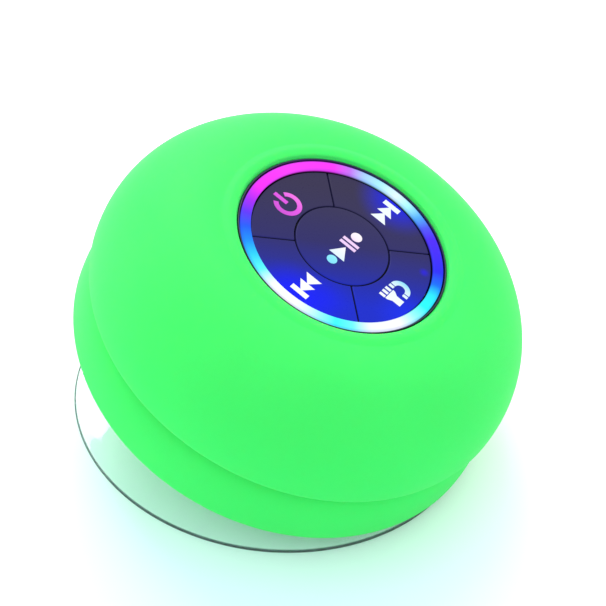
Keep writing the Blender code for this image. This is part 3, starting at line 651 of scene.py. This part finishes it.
# ---- silicone cover ----
def make_cover():
    """Collar round the panel, dome, crease, lower tier and the lip turned in underneath."""
    inner = PANEL_R + 0.12
    outline = [(inner, 48.0)]
    outline += smooth_route([(inner, 48.42), (inner + 0.22, 48.8), (20.95, 49.2), (21.7, 49.5),
                             (22.4, 49.57), (23.1, 49.38), (CREASE_R - 0.05, CREASE_Z + 0.02),
                             (24.4, dome_height(24.4)), (25.4, dome_height(25.4))], 4)
    outline += dome_outline(26.2, 0.0, 56)
    outline += arc((BODY_R - 3.4, DOME_Z), (3.4, 2.5), -6.0, -84.0, 16)
    outline += smooth_route([(39.75, 26.72), (39.42, 26.5), (GROOVE_R, 26.3), (39.4, 26.14)], 2)
    outline += [tier_point(0.985 * math.cos(math.radians(90.0 * part / 20.0)))
                for part in range(1, 21)]
    outline += arc((TIER_R - 3.95, TIER_Z), (3.95, TIER_DROP), -6.0, -78.0, 14)
    outline += smooth_route([on_floor(38.6, 0.02), on_floor(36.5), on_floor(LIP_R + 0.4)], 2)
    outline += [on_floor(LIP_R, 0.35), on_floor(LIP_R, SKIN - 0.2),
                (LIP_R + 0.2, floor_height(LIP_R) + SKIN), on_floor(39.3, SKIN)]
    outline += [tier_point(share, SKIN) for share in (0.0, 0.25, 0.5, 0.7, 0.86, 0.95)]
    outline += [(GROOVE_R - SKIN, TIER_Z + TIER_RISE), (GROOVE_R - SKIN, 27.4), (38.9, 28.7),
                (41.0, 29.6), *reversed(dome_outline(25.2, SKIN, 24)[:-1]), (23.2, 48.0)]
    turned("silicone_cover", outline, SILICONE, steps=192, sharp=50.0)


# ---- control panel ----
def make_panel():
    wall = PANEL_R - 0.26
    ledge = LIGHT_OUT - 0.35
    outline = [(ledge, 44.7), (PANEL_R, 44.7), (PANEL_R, PANEL_TOP - 0.1)]
    outline += arc((PANEL_R - 0.1, PANEL_TOP - 0.1), 0.1, 10.0, 90.0, 4)
    outline += [(wall + 0.08, PANEL_TOP), (wall, PANEL_TOP - 0.08), (wall, 45.3), (ledge, 45.3)]
    turned("panel_ring", outline, PANEL, steps=160)
    inner, outer = LIGHT_IN, LIGHT_OUT + 0.16
    outline = [(inner, LIGHT_LOW), (outer, LIGHT_LOW), (outer, LIGHT_TOP - 0.16)]
    middle = (inner + outer) / 2.0
    outline += arc((middle, LIGHT_TOP - 0.16), ((outer - inner) / 2.0, 0.16), 12.0, 168.0, 14)
    outline += [(inner, LIGHT_TOP - 0.16)]
    turned("light_ring", outline, DIFFUSER, steps=160, sharp=60.0)


KEY_GAP, STEM_R = 0.36, 1.1
KEY_MIDDLE = (CENTRE_KEY_R + KEY_GAP + KEY_R) / 2.0
KEY_DIRECTIONS = {"next": 0.0, "power": 90.0, "previous": 180.0, "phone_light": 270.0}
KEY_UNDER = KEY_TOP - 1.2


def sector_outline(direction, parts=28):
    inner = CENTRE_KEY_R + KEY_GAP
    points = []
    for radius, sweep, pieces in ((KEY_R, 1.0, parts), (inner, -1.0, parts // 2)):
        limit = 45.0 - math.degrees(math.asin(KEY_GAP / 2.0 / radius))
        points += arc((0.0, 0.0), radius, direction - sweep * limit,
                      direction + sweep * limit, pieces)
    return points


def make_keys():
    for name, direction in KEY_DIRECTIONS.items():
        shape = prism(sector_outline(direction), KEY_UNDER, KEY_TOP)
        place = polar(KEY_MIDDLE, direction)
        turn_outline(shape, band(0.0, STEM_R, KEY_LOW, KEY_UNDER + 0.02), 24, place)
        bevelled(add_piece(f"key_{name}", shape, KEY, f"key_{name}"), 0.14)
    outline = [(0.0, KEY_LOW), (STEM_R, KEY_LOW), (STEM_R, KEY_UNDER),
               (CENTRE_KEY_R - 0.1, KEY_UNDER), (CENTRE_KEY_R, KEY_UNDER + 0.1)]
    outline += arc((CENTRE_KEY_R - 0.2, KEY_TOP - 0.2), 0.2, 0.0, 90.0, 6)
    outline += [(0.0, KEY_TOP)]
    turned("key_play_pause", outline, KEY, "key_play_pause")


ICON_LOW, ICON_TOP = KEY_TOP - 0.25, KEY_TOP + 0.02


def ring_part(centre, outer, inner, start, end, parts=32):
    """Outline of part of a flat ring."""
    return arc(centre, outer, start, end, parts) + arc(centre, inner, end, start, parts)


def box_outline(x, y, wide, high):
    return [(x - wide / 2, y - high / 2), (x + wide / 2, y - high / 2),
            (x + wide / 2, y + high / 2), (x - wide / 2, y + high / 2)]


def icon(name, body, look, centre, outlines, mirror=1.0):
    shape = bmesh.new()
    for outline in outlines:
        placed = [(centre[0] + mirror * x, centre[1] + y) for x, y in outline]
        raise_outline(shape, placed, ICON_LOW, ICON_TOP)
    add_piece(name, shape, look, body)


def make_icons():
    white = icon_glow("icon_white", [(0.0, 255, 255, 255), (1.0, 240, 252, 255)], -16.0, 16.0)
    pink = icon_glow("icon_pink", [(0.0, 205, 48, 212), (0.5, 226, 54, 230),
                                   (1.0, 250, 104, 236)], -3.6, 2.4)
    row = icon_glow("icon_row", [(0.0, 120, 225, 255), (0.20, 135, 240, 255),
                                 (0.24, 225, 245, 255), (0.50, 252, 250, 255),
                                 (0.56, 240, 205, 252), (0.78, 246, 210, 250),
                                 (0.85, 255, 240, 252), (1.0, 255, 250, 255)], -5.5, 4.9)
    phone = icon_glow("icon_phone", [(0.0, 250, 255, 255), (0.5, 235, 252, 255),
                                     (0.8, 200, 240, 255), (1.0, 110, 220, 252)], -3.8, 2.4)
    tip = [(-2.8, -1.75), (-0.3, 0.0), (-2.8, 1.75)]
    marks = [tip, [(x + 2.3, y * 0.95) for x, y in tip], box_outline(2.3, 0.0, 1.2, 3.65)]
    icon("icon_next", "key_next", white, (13.9, -0.9), marks)
    icon("icon_previous", "key_previous", white, (-13.5, -0.95), marks, -0.93)
    icon("icon_power", "key_power", pink, (-0.6, 12.75),
         [ring_part((0.0, 0.0), 2.8, 1.82, 125.0, 415.0, 48),
          box_outline(0.05, 1.75, 0.88, 3.1)])
    icon("icon_play_pause", "key_play_pause", row, (0.0, -0.7),
         [arc((-4.5, 0.1), 1.02, 0.0, 350.0, 35), [(-3.1, -1.75), (0.05, 0.0), (-3.1, 1.75)],
          box_outline(0.75, 0.0, 0.72, 3.6), box_outline(1.87, 0.0, 0.72, 3.6),
          arc((3.8, 0.0), 1.12, 0.0, 350.0, 35)])
    rays = [box_outline(-3.43 + 1.0 * index, 1.35, 0.62, 1.25) for index in range(3)]
    torch = [(-3.65, 0.55), (-3.6, 0.1), (-3.1, -0.75), (-3.1, -2.45), (-1.5, -2.45),
             (-1.5, -0.75), (-0.9, 0.1), (-0.85, 0.55)]
    handset = [ring_part((0.2, -0.3), 2.1, 1.05, -88.0, 88.0, 32),
               box_outline(-0.3, 1.3, 0.62, 1.05), box_outline(-0.3, -1.9, 0.62, 1.05)]
    icon("icon_phone_light", "key_phone_light", phone, (0.0, -13.1), [*rays, torch, *handset])


# ---- suction cup ----
def make_cup():
    """Clear cup: thin skirt on a flat rim with a rounded edge, and a thick boss."""
    boss_top = 6.5
    bore, pocket = NECK_R + GAP, BALL_R + GAP
    outline = [(bore, boss_top)]
    outline += smooth_route([(6.2, boss_top), (8.0, 6.1), (11.0, 5.2), (14.0, 4.2),
                             (18.0, 3.1), (22.5, 2.5), (27.0, 1.95), (31.5, 1.45),
                             (35.0, 1.1), (38.0, 0.85), (CUP_R - 0.45, 0.76)], 5)
    outline += arc((CUP_R - 0.37, 0.38), (0.37, 0.38), 76.0, -76.0, 10)
    outline += [(CUP_R - 0.5, 0.0), (38.6, 0.0)]
    outline += smooth_route([(38.2, 0.01), (35.0, 0.25), (31.0, 0.55), (26.5, 1.0),
                             (22.0, 1.4), (18.0, 1.9), (14.0, 2.8), (11.4, 3.9),
                             (10.2, CUP_CEILING)], 5)
    outline += [(pocket, CUP_CEILING), (pocket, CUP_CEILING + 1.0), (bore, CUP_CEILING + 1.0)]
    turned("suction_cup", outline, PVC, "cup", steps=256, sharp=40.0)


# ---- rear shell, screws and mesh ----
SCREW_R = 28.0
SCREW_PLACES = [polar(SCREW_R, angle) for angle in (90.0, 210.0, 330.0)]
PORT_Z, PORT_HALF = 19.6, (6.2, 2.9)
SPLIT_Z, WALL = 24.0, 1.8
SOCKET_R = BALL_R + GAP
CUT_SHARP = 35.0  # degrees; an edge above it is shaded sharp


def combine(piece, shape, operation="DIFFERENCE", solver="MANIFOLD"):
    """Cut the bmesh out of the piece, or join it, for good."""
    bmesh.ops.recalc_face_normals(shape, faces=shape.faces)
    if shape.calc_volume(signed=True) < 0.0:
        bmesh.ops.reverse_faces(shape, faces=shape.faces)
    mesh = to_mesh("helper", shape)
    mesh.transform(TO_WORLD["housing"])
    helper = link("helper", mesh)
    modifier = piece.modifiers.new("helper", "BOOLEAN")
    modifier.operation = operation
    modifier.solver = solver
    modifier.object = helper
    bpy.context.view_layer.update()
    graph = bpy.context.evaluated_depsgraph_get()
    result = bpy.data.meshes.new_from_object(piece.evaluated_get(graph))
    piece.modifiers.remove(modifier)
    piece.data = result
    bpy.data.objects.remove(helper)
    write_upright(result, TO_WORLD["housing"].inverted())
    result.set_sharp_from_angle(angle=math.radians(CUT_SHARP))


def rounded_box(wide, high, corner, parts=6):
    """Outline of a rounded rectangle about the origin, given by its half sizes."""
    outline = []
    for x, y, start in ((1, 1, 0.0), (-1, 1, 90.0), (-1, -1, 180.0), (1, -1, 270.0)):
        outline += arc((x * (wide - corner), y * (high - corner)), corner, start,
                       start + 90.0, parts)
    return outline


def along_x(outline, start, end, height):
    """Prism along X over a closed outline of (y, z) points, z counted from the height."""
    shape = prism(outline, start, end)
    shape.transform(Matrix(((0, 0, 1, 0), (1, 0, 0, 0), (0, 1, 0, height), (0, 0, 0, 1))))
    return shape


def port_prism(wide, high, corner, inner, outer):
    """Rounded prism through the wall at the charging port."""
    return along_x(rounded_box(wide, high, corner), inner, outer, PORT_Z)


def turned_group(outline, places, steps):
    """The turned outline at each of the places."""
    shape = bmesh.new()
    for place in places:
        turn_outline(shape, outline, steps, place)
    return shape


def slot_shape():
    """Round-ended radial sound slots."""
    shape = bmesh.new()
    for index in range(12):
        turn = math.radians(30.0 * (index + 0.5))
        outline = arc((15.1, 0.0), 0.9, -90.0, 90.0, 8) + arc((11.3, 0.0), 0.9, 90.0, 270.0, 8)
        placed = [(x * math.cos(turn) - y * math.sin(turn),
                   x * math.sin(turn) + y * math.cos(turn)) for x, y in outline]
        raise_outline(shape, placed, FLOOR_Z - 2.0, FLOOR_Z + 3.5)
    return shape


def make_rear_shell():
    inset = SKIN + GAP
    step = LIP_R - GAP
    outline = [(8.4, PIVOT_Z)] + arc((0.0, PIVOT_Z), SOCKET_R, 0.0, -37.0, 12)
    outline += [(4.4, 8.76), (4.7, 8.78), (6.4, FLOOR_Z - 0.02), (6.8, FLOOR_Z)]
    outline += [(step - 0.3, FLOOR_Z), (step, FLOOR_Z + 0.3)]
    outline += [on_floor(step, inset), on_floor(39.0, inset)]
    outline += [tier_point(share, inset) for share in (0.04, 0.12, 0.22, 0.35, 0.5, 0.65)]
    top = tier_point(0.78, inset)[0]
    outline += [(top, SPLIT_Z - 0.2), (top - 0.2, SPLIT_Z), (top - WALL, SPLIT_Z)]
    outline += [(TIER_R - inset - WALL, 18.6), (TIER_R - inset - WALL, 16.8)]
    inside = floor_height(21.6) + inset + WALL
    outline += [on_floor(38.0, inset + WALL), (21.6, inside)]
    outline += [(19.6, inside - 0.4), (19.05, 18.2), (18.95, 18.3), (17.3, 18.3)]
    outline += [(17.2, 18.2), (17.2, FLOOR_Z + WALL), (8.4, FLOOR_Z + WALL)]
    shell = turned("rear_shell", outline, PLASTIC, steps=144)
    boss = [(0.0, 13.6), (3.9, 13.6), (3.9, 14.85), (3.75, 15.0), (0.0, 15.0)]
    sink = [(0.0, 8.0), (2.9, 8.0), (2.9, 14.2), (1.5, 14.2), (1.5, 16.0), (0.0, 16.0)]
    combine(shell, turned_group(boss, SCREW_PLACES, 40), "UNION")
    combine(shell, turned_group(sink, SCREW_PLACES, 40))
    combine(shell, port_prism(PORT_HALF[0] - 1.4, PORT_HALF[1] - 0.5, 0.9, 36.0, 45.0))
    combine(shell, slot_shape())
    for radius in (7.6, 18.4):
        line = bmesh.new()
        turn_outline(line, [(radius, 9.0), (radius + 0.5, 9.0), (radius + 0.42, 9.62),
                            (radius + 0.08, 9.62)], 144)
        combine(shell, line)


def make_screws():
    head = [(0.0, 13.06), (1.7, 13.06), (2.1, 13.16), (2.3, 13.4), (2.3, 14.1), (1.0, 14.1)]
    thread = []
    for index in range(13):
        height = 14.3 + 0.6 * index
        thread += [(0.82, height), (1.0, height + 0.22), (0.82, height + 0.44)]
    outline = head + thread + [(0.5, 22.2), (0.0, 22.6)]
    for index, place in enumerate(SCREW_PLACES):
        screw = turned(f"housing_screw_{index + 1}", outline, STEEL, steps=32, centre=place)
        for wide, high in ((2.5, 0.55), (0.55, 2.5)):
            combine(screw, prism(box_outline(*place, wide, high), 12.0, 13.75))


def make_mesh():
    """Woven guard behind the sound slots: two layers of wires across a hemmed ring."""
    inner, outer, pitch, half = 8.9, 16.8, 0.72, 0.15
    shape = bmesh.new()
    count = int(outer / pitch)
    for way, low in ((1, 11.54), (-1, 11.66)):
        for index in range(-count, count + 1):
            place = index * pitch
            reach = math.sqrt(max(0.0, (outer - 0.1) ** 2 - place ** 2))
            start = math.sqrt(max(0.0, (inner + 0.1) ** 2 - place ** 2))
            spans = [(-reach, -start), (start, reach)] if start else [(-reach, reach)]
            for first, last in spans:
                if last - first < 0.4:
                    continue
                middle = (first + last) / 2.0
                where, size = (middle, place)[::way], (last - first, 2 * half)[::way]
                raise_outline(shape, box_outline(*where, *size), low, low + 0.11)
    for radius in (inner, outer - 0.55):
        turn_outline(shape, band(radius, radius + 0.6, 11.5, 11.8), 96)
    add_piece("speaker_mesh", shape, MESH_CLOTH)


def make_port():
    """Flap that closes the charging port, cut from the same surface as the cover."""
    inner = TIER_R - SKIN + 0.1
    outline = [(inner, 14.5), (tier_radius(15.9) - 0.01, 14.5)]
    heights = [16.0 + 0.3 * part for part in range(25)]
    outline += [(tier_radius(height) - 0.01, height) for height in heights] + [(inner, 23.2)]
    flap = turned("port_cover", outline, SILICONE, "charging_flap", steps=288)
    combine(flap, port_prism(PORT_HALF[0], PORT_HALF[1], 1.5, 30.0, 45.0), "INTERSECT", "EXACT")
    grip = along_x(rounded_box(2.2, 0.35, 0.34), 41.6, 42.75, PORT_Z + 1.9)
    combine(flap, grip, "UNION", "EXACT")
    combine(flap, port_prism(3.4, 1.0, 0.6, 40.3, 41.9), "UNION", "EXACT")
    bevelled(flap, 0.18, 3, 40.0)
    window = port_prism(PORT_HALF[0] + GAP, PORT_HALF[1] + GAP, 1.8, 39.0, 45.0)
    combine(bpy.data.objects["silicone_cover_fine"], window)


def make_usb():
    """Micro-USB style socket: thin steel mouth with a tongue inside."""
    middle = sum(measured("usb_socket")[2:]) / 2.0
    mouth = [(-3.75, 1.3), (-3.75, -0.1), (-2.7, -1.3), (2.7, -1.3), (3.75, -0.1), (3.75, 1.3)]
    socket = add_piece("usb_socket", along_x(mouth, 33.4, 39.7, middle), STEEL)
    hollow = [(x * 0.91, y * 0.76) for x, y in mouth]
    combine(socket, along_x(hollow, 34.6, 41.0, middle))
    bevelled(socket, 0.09, 2)
    tongue = [(-2.3, 0.25), (-2.3, -0.35), (2.3, -0.35), (2.3, 0.25)]
    bevelled(add_piece("usb_tongue", along_x(tongue, 34.4, 39.2, middle), PLASTIC), 0.08, 2)


# ---- ball joint, seals and shells ----
def make_joint():
    neck = math.degrees(math.asin(NECK_R / BALL_R))
    outline = raised(CUP_CEILING, (0.0, 0.0), (4.8, 0.0), (5.0, 0.2), (5.0, 0.5), (4.8, 0.7),
                     (2.7, 0.7), (NECK_R, 0.95))
    outline += arc((0.0, PIVOT_Z), BALL_R - 0.01, neck - 90.0, 89.0, 40)
    outline += [(0.0, PIVOT_Z + BALL_R - 0.01)]
    turned("ball_stud", outline, PLASTIC, "swivel", steps=64)
    low = PIVOT_Z + GAP
    start = math.degrees(math.asin(GAP / SOCKET_R))
    outer = SOCKET_R + 1.5
    outline = arc((0.0, PIVOT_Z), SOCKET_R, start, 89.0, 24) + [(0.0, PIVOT_Z + SOCKET_R)]
    outline += [(0.0, PIVOT_Z + outer)] + arc((0.0, PIVOT_Z), outer, 88.0, 18.0, 20)
    outline += [(8.2, low + 1.6), (8.4, low + 1.4), (8.4, low)]
    turned("socket_cap", outline, PLASTIC)
    inner, outer, low, high = measured("housing_seal")
    outline = [(inner + 0.05, low), (outer - 0.1, low), (outer, (low + high) / 2),
               (outer - 0.1, high), (inner + 0.05, high), (inner + 0.18, (low + high) / 2)]
    turned("housing_seal", outline, RUBBER, steps=144, sharp=60.0)


def make_front_shell():
    inset = SKIN + GAP
    neck, skirt = PANEL_R + 0.35, GROOVE_R - SKIN - GAP
    outline = [(neck, 44.7), (neck, 47.5), (neck + 0.1, 47.6), (23.4, 47.6)]
    outline += dome_outline(25.0, inset, 30)[:-1]
    outline += [(40.8, 30.6), (40.2, 30.0), (38.5, 29.2), (skirt, 27.9), (skirt, 21.5)]
    outline += [(skirt - WALL, 21.5), (skirt - WALL, 29.0), (38.4, 30.0), (39.0, 31.0)]
    outline += reversed(dome_outline(25.0, inset + WALL, 24)[:-1])
    outline += [(22.5, 45.7), (22.5, 44.7)]
    shell = turned("front_shell", outline, PLASTIC, steps=144)
    top = dome_height(SCREW_R, inset) - 0.6 * WALL
    combine(shell, turned_group(band(0.0, 2.5, 15.3, top), SCREW_PLACES, 32), "UNION")
    combine(shell, turned_group(band(0.0, 1.3, 14.0, 24.0), SCREW_PLACES, 24))


# ---- loudspeaker ----
def make_driver():
    front = 19.6
    back = front + 8.4
    apex, plate = front + 5.0, back + 1.3
    basket = raised(front, (18.9, 0.0), (20.1, 0.0), (20.3, 0.2), (20.3, 1.2), (19.6, 1.2))
    basket += raised(back, (13.6, -0.2), (13.4, 0.0), (13.4, 0.9), (13.3, 1.0), (8.0, 1.0),
                     (8.0, 0.0), (12.3, 0.0))
    basket += raised(front, (18.6, 1.2), (18.9, 1.2))
    frame_piece = turned("driver_frame", basket, PLASTIC)
    windows = bmesh.new()
    for index in range(6):
        turn = Matrix.Rotation(math.radians(60.0 * index + 30.0), 4, "Z")
        lean = Matrix.Rotation(math.radians(-50.0), 4, "Y")
        place = Matrix.Translation((16.2, 0.0, front + 4.8))
        bmesh.ops.create_cube(windows, size=1.0,
                              matrix=turn @ place @ lean @ Matrix.Diagonal((4.0, 9.5, 4.4, 1)))
    combine(frame_piece, windows)
    turned("driver_gasket", band(17.4, 19.9, 18.6, 19.3), FOAM, corner=0.2)
    for name, look in (("top_plate", STEEL), ("driver_magnet", FERRITE)):
        turned(name, band(*measured(name)), look, corner=0.25)
    _, yoke_r, _, top = measured("driver_yoke")
    pole, yoke = 5.6, plate + 1.7 + 3.9
    outline = raised(plate, (0.0, 0.3), (1.2, 0.3), (1.2, 0.0), (pole - 0.3, 0.0), (pole, 0.3))
    outline += [(pole, yoke), (yoke_r - 0.2, yoke), (yoke_r, yoke + 0.2), (yoke_r, top - 0.3),
                (yoke_r - 0.3, top), (3.0, top), (2.6, top - 0.35), (0.0, top - 0.35)]
    turned("driver_yoke", outline, STEEL)
    cone = smooth_route(raised(front, (6.7, 5.0), (9.0, 3.75), (12.2, 2.2), (15.4, 1.0)), 6)
    cone += raised(front, (15.6, 1.0), (15.6, 1.5))
    cone += smooth_route(raised(front, (15.0, 1.6), (12.2, 2.75), (9.0, 4.3), (6.7, 5.6)), 6)
    turned("driver_cone", cone, PAPER, "cone")
    dome = smooth_route(raised(apex, (0.0, -2.2), (2.6, -1.95), (4.6, -1.2), (6.1, -0.1)), 5)
    dome += smooth_route(raised(apex, (6.1, 0.3), (4.4, -0.8), (2.4, -1.5), (0.0, -1.75)), 5)
    turned("dust_cap", dome, PAPER, "cone", steps=64)
    coil = []
    for index in range(16):
        height = apex + 0.75 + 0.42 * index
        if height < plate + 2.0:
            coil += [(6.5, height), (6.44, height + 0.21)]
    outline = [(6.0, apex + 0.6), (6.42, apex + 0.6)] + coil
    outline += [(6.42, plate + 2.2), (6.0, plate + 2.2)]
    turned("voice_coil", outline, COPPER, "cone")
    roll = smooth_route(raised(front, (15.9, 1.0), (16.3, 0.45), (16.8, 0.3), (17.3, 0.62),
                               (17.8, 0.78)), 5)
    roll += smooth_route(raised(front, (17.8, 1.06), (17.3, 0.95), (16.8, 0.68), (16.4, 0.82),
                                (15.9, 1.5)), 5)
    turned("cone_surround", roll, RUBBER, "cone", sharp=70.0)
    low = apex + 1.8
    waves = [(6.8 + 0.1 * step, 0.2 - 0.2 * math.cos(math.pi * step / 6.0))
             for step in range(49)]
    outline = raised(low, *waves) + raised(low + 0.28, *reversed(waves))
    turned("spider", outline, SPIDER, "cone", sharp=70.0)


# ---- electronics ----
def make_electronics():
    low, high = measured("main_board")[2:]
    board = turned("main_board", [(0.0, low), (BOARD_R - 0.1, low), (BOARD_R, low + 0.1),
                                  (BOARD_R, high - 0.1), (BOARD_R - 0.1, high), (0.0, high)],
                   BOARD)
    combine(board, turned_group(band(0.0, 1.1, low - 1, high + 1),
                                [polar(23.0, angle) for angle in (45.0, 135.0, 225.0, 315.0)], 24))
    shape = bmesh.new()
    for index in range(26):
        x, y = polar(6.0 + 9.0 * ((index * 7) % 11) / 11.0, 360.0 * ((index * 5) % 26) / 26.0)
        if -12.0 <= y <= 11.5:
            long_side = 1.6 if index % 3 else 2.4
            raise_outline(shape, box_outline(x, y, long_side, 0.8), low - 0.6, low - 0.02)
    bevelled(add_piece("board_parts", shape, CHIP), 0.08, 2)
    for name in ("play_pause", *KEY_DIRECTIONS):
        node = f"switch_{name}"
        places = upright_points(node)
        centre = [(min(p[axis] for p in places) + max(p[axis] for p in places)) / 2.0
                  for axis in (0, 1)]
        seat = min(p.z for p in places)
        outline = raised(seat, (0.0, 0.0), (1.7, 0.0), (1.7, 0.45), (1.5, 0.6), (0.9, 0.62),
                         (0.72, 0.68), (0.66, 0.76), (0.0, 0.8))
        turned(node, outline, STEEL, steps=32, centre=centre)
    _, _, seat, top = measured("microphone")
    outline = [(0.0, seat), (1.9, seat), (2.0, seat + 0.1), (2.0, top - 0.15),
               (1.85, top), (0.5, top), (0.45, top - 0.3), (0.0, top - 0.3)]
    turned("microphone", outline, STEEL, steps=40, centre=MIC_PLACE)


BOARD_R, MIC_PLACE = 25.0, (28.5, -4.0)
SHARP_NODES = ("amplifier_chip", "battery_pad", "bluetooth_module", "charge_board")


def dress_cad():
    """Give every CAD node that still shows its procedural material, and the LEDs and the nodes in
    SHARP_NODES softened edges.
    """
    looks = {slot_name(look): look for look in
             (BOARD, STEEL, CHIP, FOIL, FOAM, WEB, LED, WIRE_RED, WIRE_BLACK, PLASTIC, RUBBER,
              SILICONE)}
    for name, node in frame["nodes"].items():
        if node.hide_render:
            continue
        for index, old in enumerate(node.data.materials):
            node.material_slots[index].link = "OBJECT"
            node.material_slots[index].material = looks[slot_name(old)]
        if name.startswith("led_") or name in SHARP_NODES:
            weld = node.modifiers.new("weld", "WELD")
            weld.merge_threshold = 0.001 * MM
            bevelled(node, 0.12, 2)


for make in (make_cover, make_panel, make_keys, make_icons, make_cup, make_rear_shell,
             make_screws, make_mesh, make_port, make_usb, make_joint, make_front_shell,
             make_driver, make_electronics, dress_cad):
    make()


# ---- stage, light and camera ----
FLOOR_HALF, FLOOR_DROP = 1.5, 0.0001  # metres; the drop keeps it clear of the cup
WORLD_LIGHT = 1.41
LAMP_SIZE = 0.40


def make_floor():
    """Pale floor with painted shade: a cyan tint towards the camera side darkens it and its
    shadows there; from underneath it lets the view through, so the underside can be seen.
    """
    made, shader = new_material("floor", (0.95, 0.97, 0.97), 0.55)
    place = add_node(shader, "ShaderNodeTexCoord").outputs["Object"]
    # painted shade: the floor turns from white to a darker cyan towards the camera side and under
    # the front of the object
    share = remap(vector_maths("DOT_PRODUCT", place, (-0.93, -0.36, 0.0)), -0.03, 0.075)
    feed(shader, Base_Color=mix(share, (0.97, 0.97, 0.97), (0.62, 0.90, 0.95)),
         Roughness=spread(noise(place, 30.0), 0.5, 0.6))
    behind = add_node(shader, "ShaderNodeNewGeometry").outputs["Backfacing"]
    blend(behind, shader, add_node(shader, "ShaderNodeBsdfTransparent"))
    shape = bmesh.new()
    bmesh.ops.create_grid(shape, x_segments=8, y_segments=8, size=FLOOR_HALF)
    mesh = to_mesh("floor", shape)
    mesh.materials.append(made)
    floor = link("floor", mesh)
    floor.location = (0.0, 0.0, CAD_BOX[0].z - FLOOR_DROP)


def soft_lamp(name, place, target, power, colour=(1.0, 1.0, 1.0)):
    data = bpy.data.lights.new(name, "AREA")
    data.shape = "DISK"
    data.size = LAMP_SIZE
    data.energy = power
    data.color = colour
    lamp = link(name, data)
    lamp.location = place
    lamp.rotation_euler = (Vector(target) - Vector(place)).to_track_quat("-Z", "Y").to_euler()


def make_light():
    world = bpy.data.worlds.new("studio")
    world.use_nodes = True
    back = world.node_tree.nodes["Background"]
    back.inputs["Color"].default_value = (1.0, 1.0, 1.0, 1.0)
    back.inputs["Strength"].default_value = WORLD_LIGHT
    bpy.context.scene.world = world
    soft_lamp("key", (0.22, 0.30, 0.50), (0.0, 0.0, 0.02), 1.9)
    soft_lamp("low", (-0.20, 0.50, 0.13), (0.0, 0.0, 0.01), 0.8, (0.97, 1.0, 1.0))


# camera fitted to the object: directions are those of the upright housing
CAMERA_AZIMUTH = math.radians(-77.0)
CAMERA_ELEVATION = math.radians(46.81)
CAMERA_ROLL = math.radians(29.62)
CAMERA_DISTANCE = 287.13
CAMERA_AIM_Z = 32.12
CAMERA_LENS, CAMERA_SENSOR = 89.1, 36.0
CAMERA_SHIFT = (-0.0177, -0.0115)


def make_camera():
    flat = Vector((math.sin(CAMERA_AZIMUTH), -math.cos(CAMERA_AZIMUTH), 0.0))
    back = flat * math.cos(CAMERA_ELEVATION) + Vector((0.0, 0.0, math.sin(CAMERA_ELEVATION)))
    right = Vector((math.cos(CAMERA_AZIMUTH), math.sin(CAMERA_AZIMUTH), 0.0))
    up = back.cross(right)
    across = right * math.cos(CAMERA_ROLL) + up * math.sin(CAMERA_ROLL)
    upward = up * math.cos(CAMERA_ROLL) - right * math.sin(CAMERA_ROLL)
    place = Vector((0.0, 0.0, CAMERA_AIM_Z)) + back * CAMERA_DISTANCE
    turn = Matrix((across, upward, back)).transposed().to_4x4()
    lean = Matrix.Rotation(LEAN, 4, "X")
    data = bpy.data.cameras.new("camera")
    data.lens = CAMERA_LENS
    data.sensor_width = CAMERA_SENSOR
    data.shift_x, data.shift_y = CAMERA_SHIFT
    data.clip_start = 0.01
    camera = link("camera", data)
    camera.matrix_world = Matrix.Translation(TO_WORLD["housing"] @ place) @ lean @ turn
    bpy.context.scene.camera = camera


make_floor()
make_light()
make_camera()
bpy.context.scene.view_settings.view_transform = "Standard"
bpy.context.scene.view_settings.look = "None"
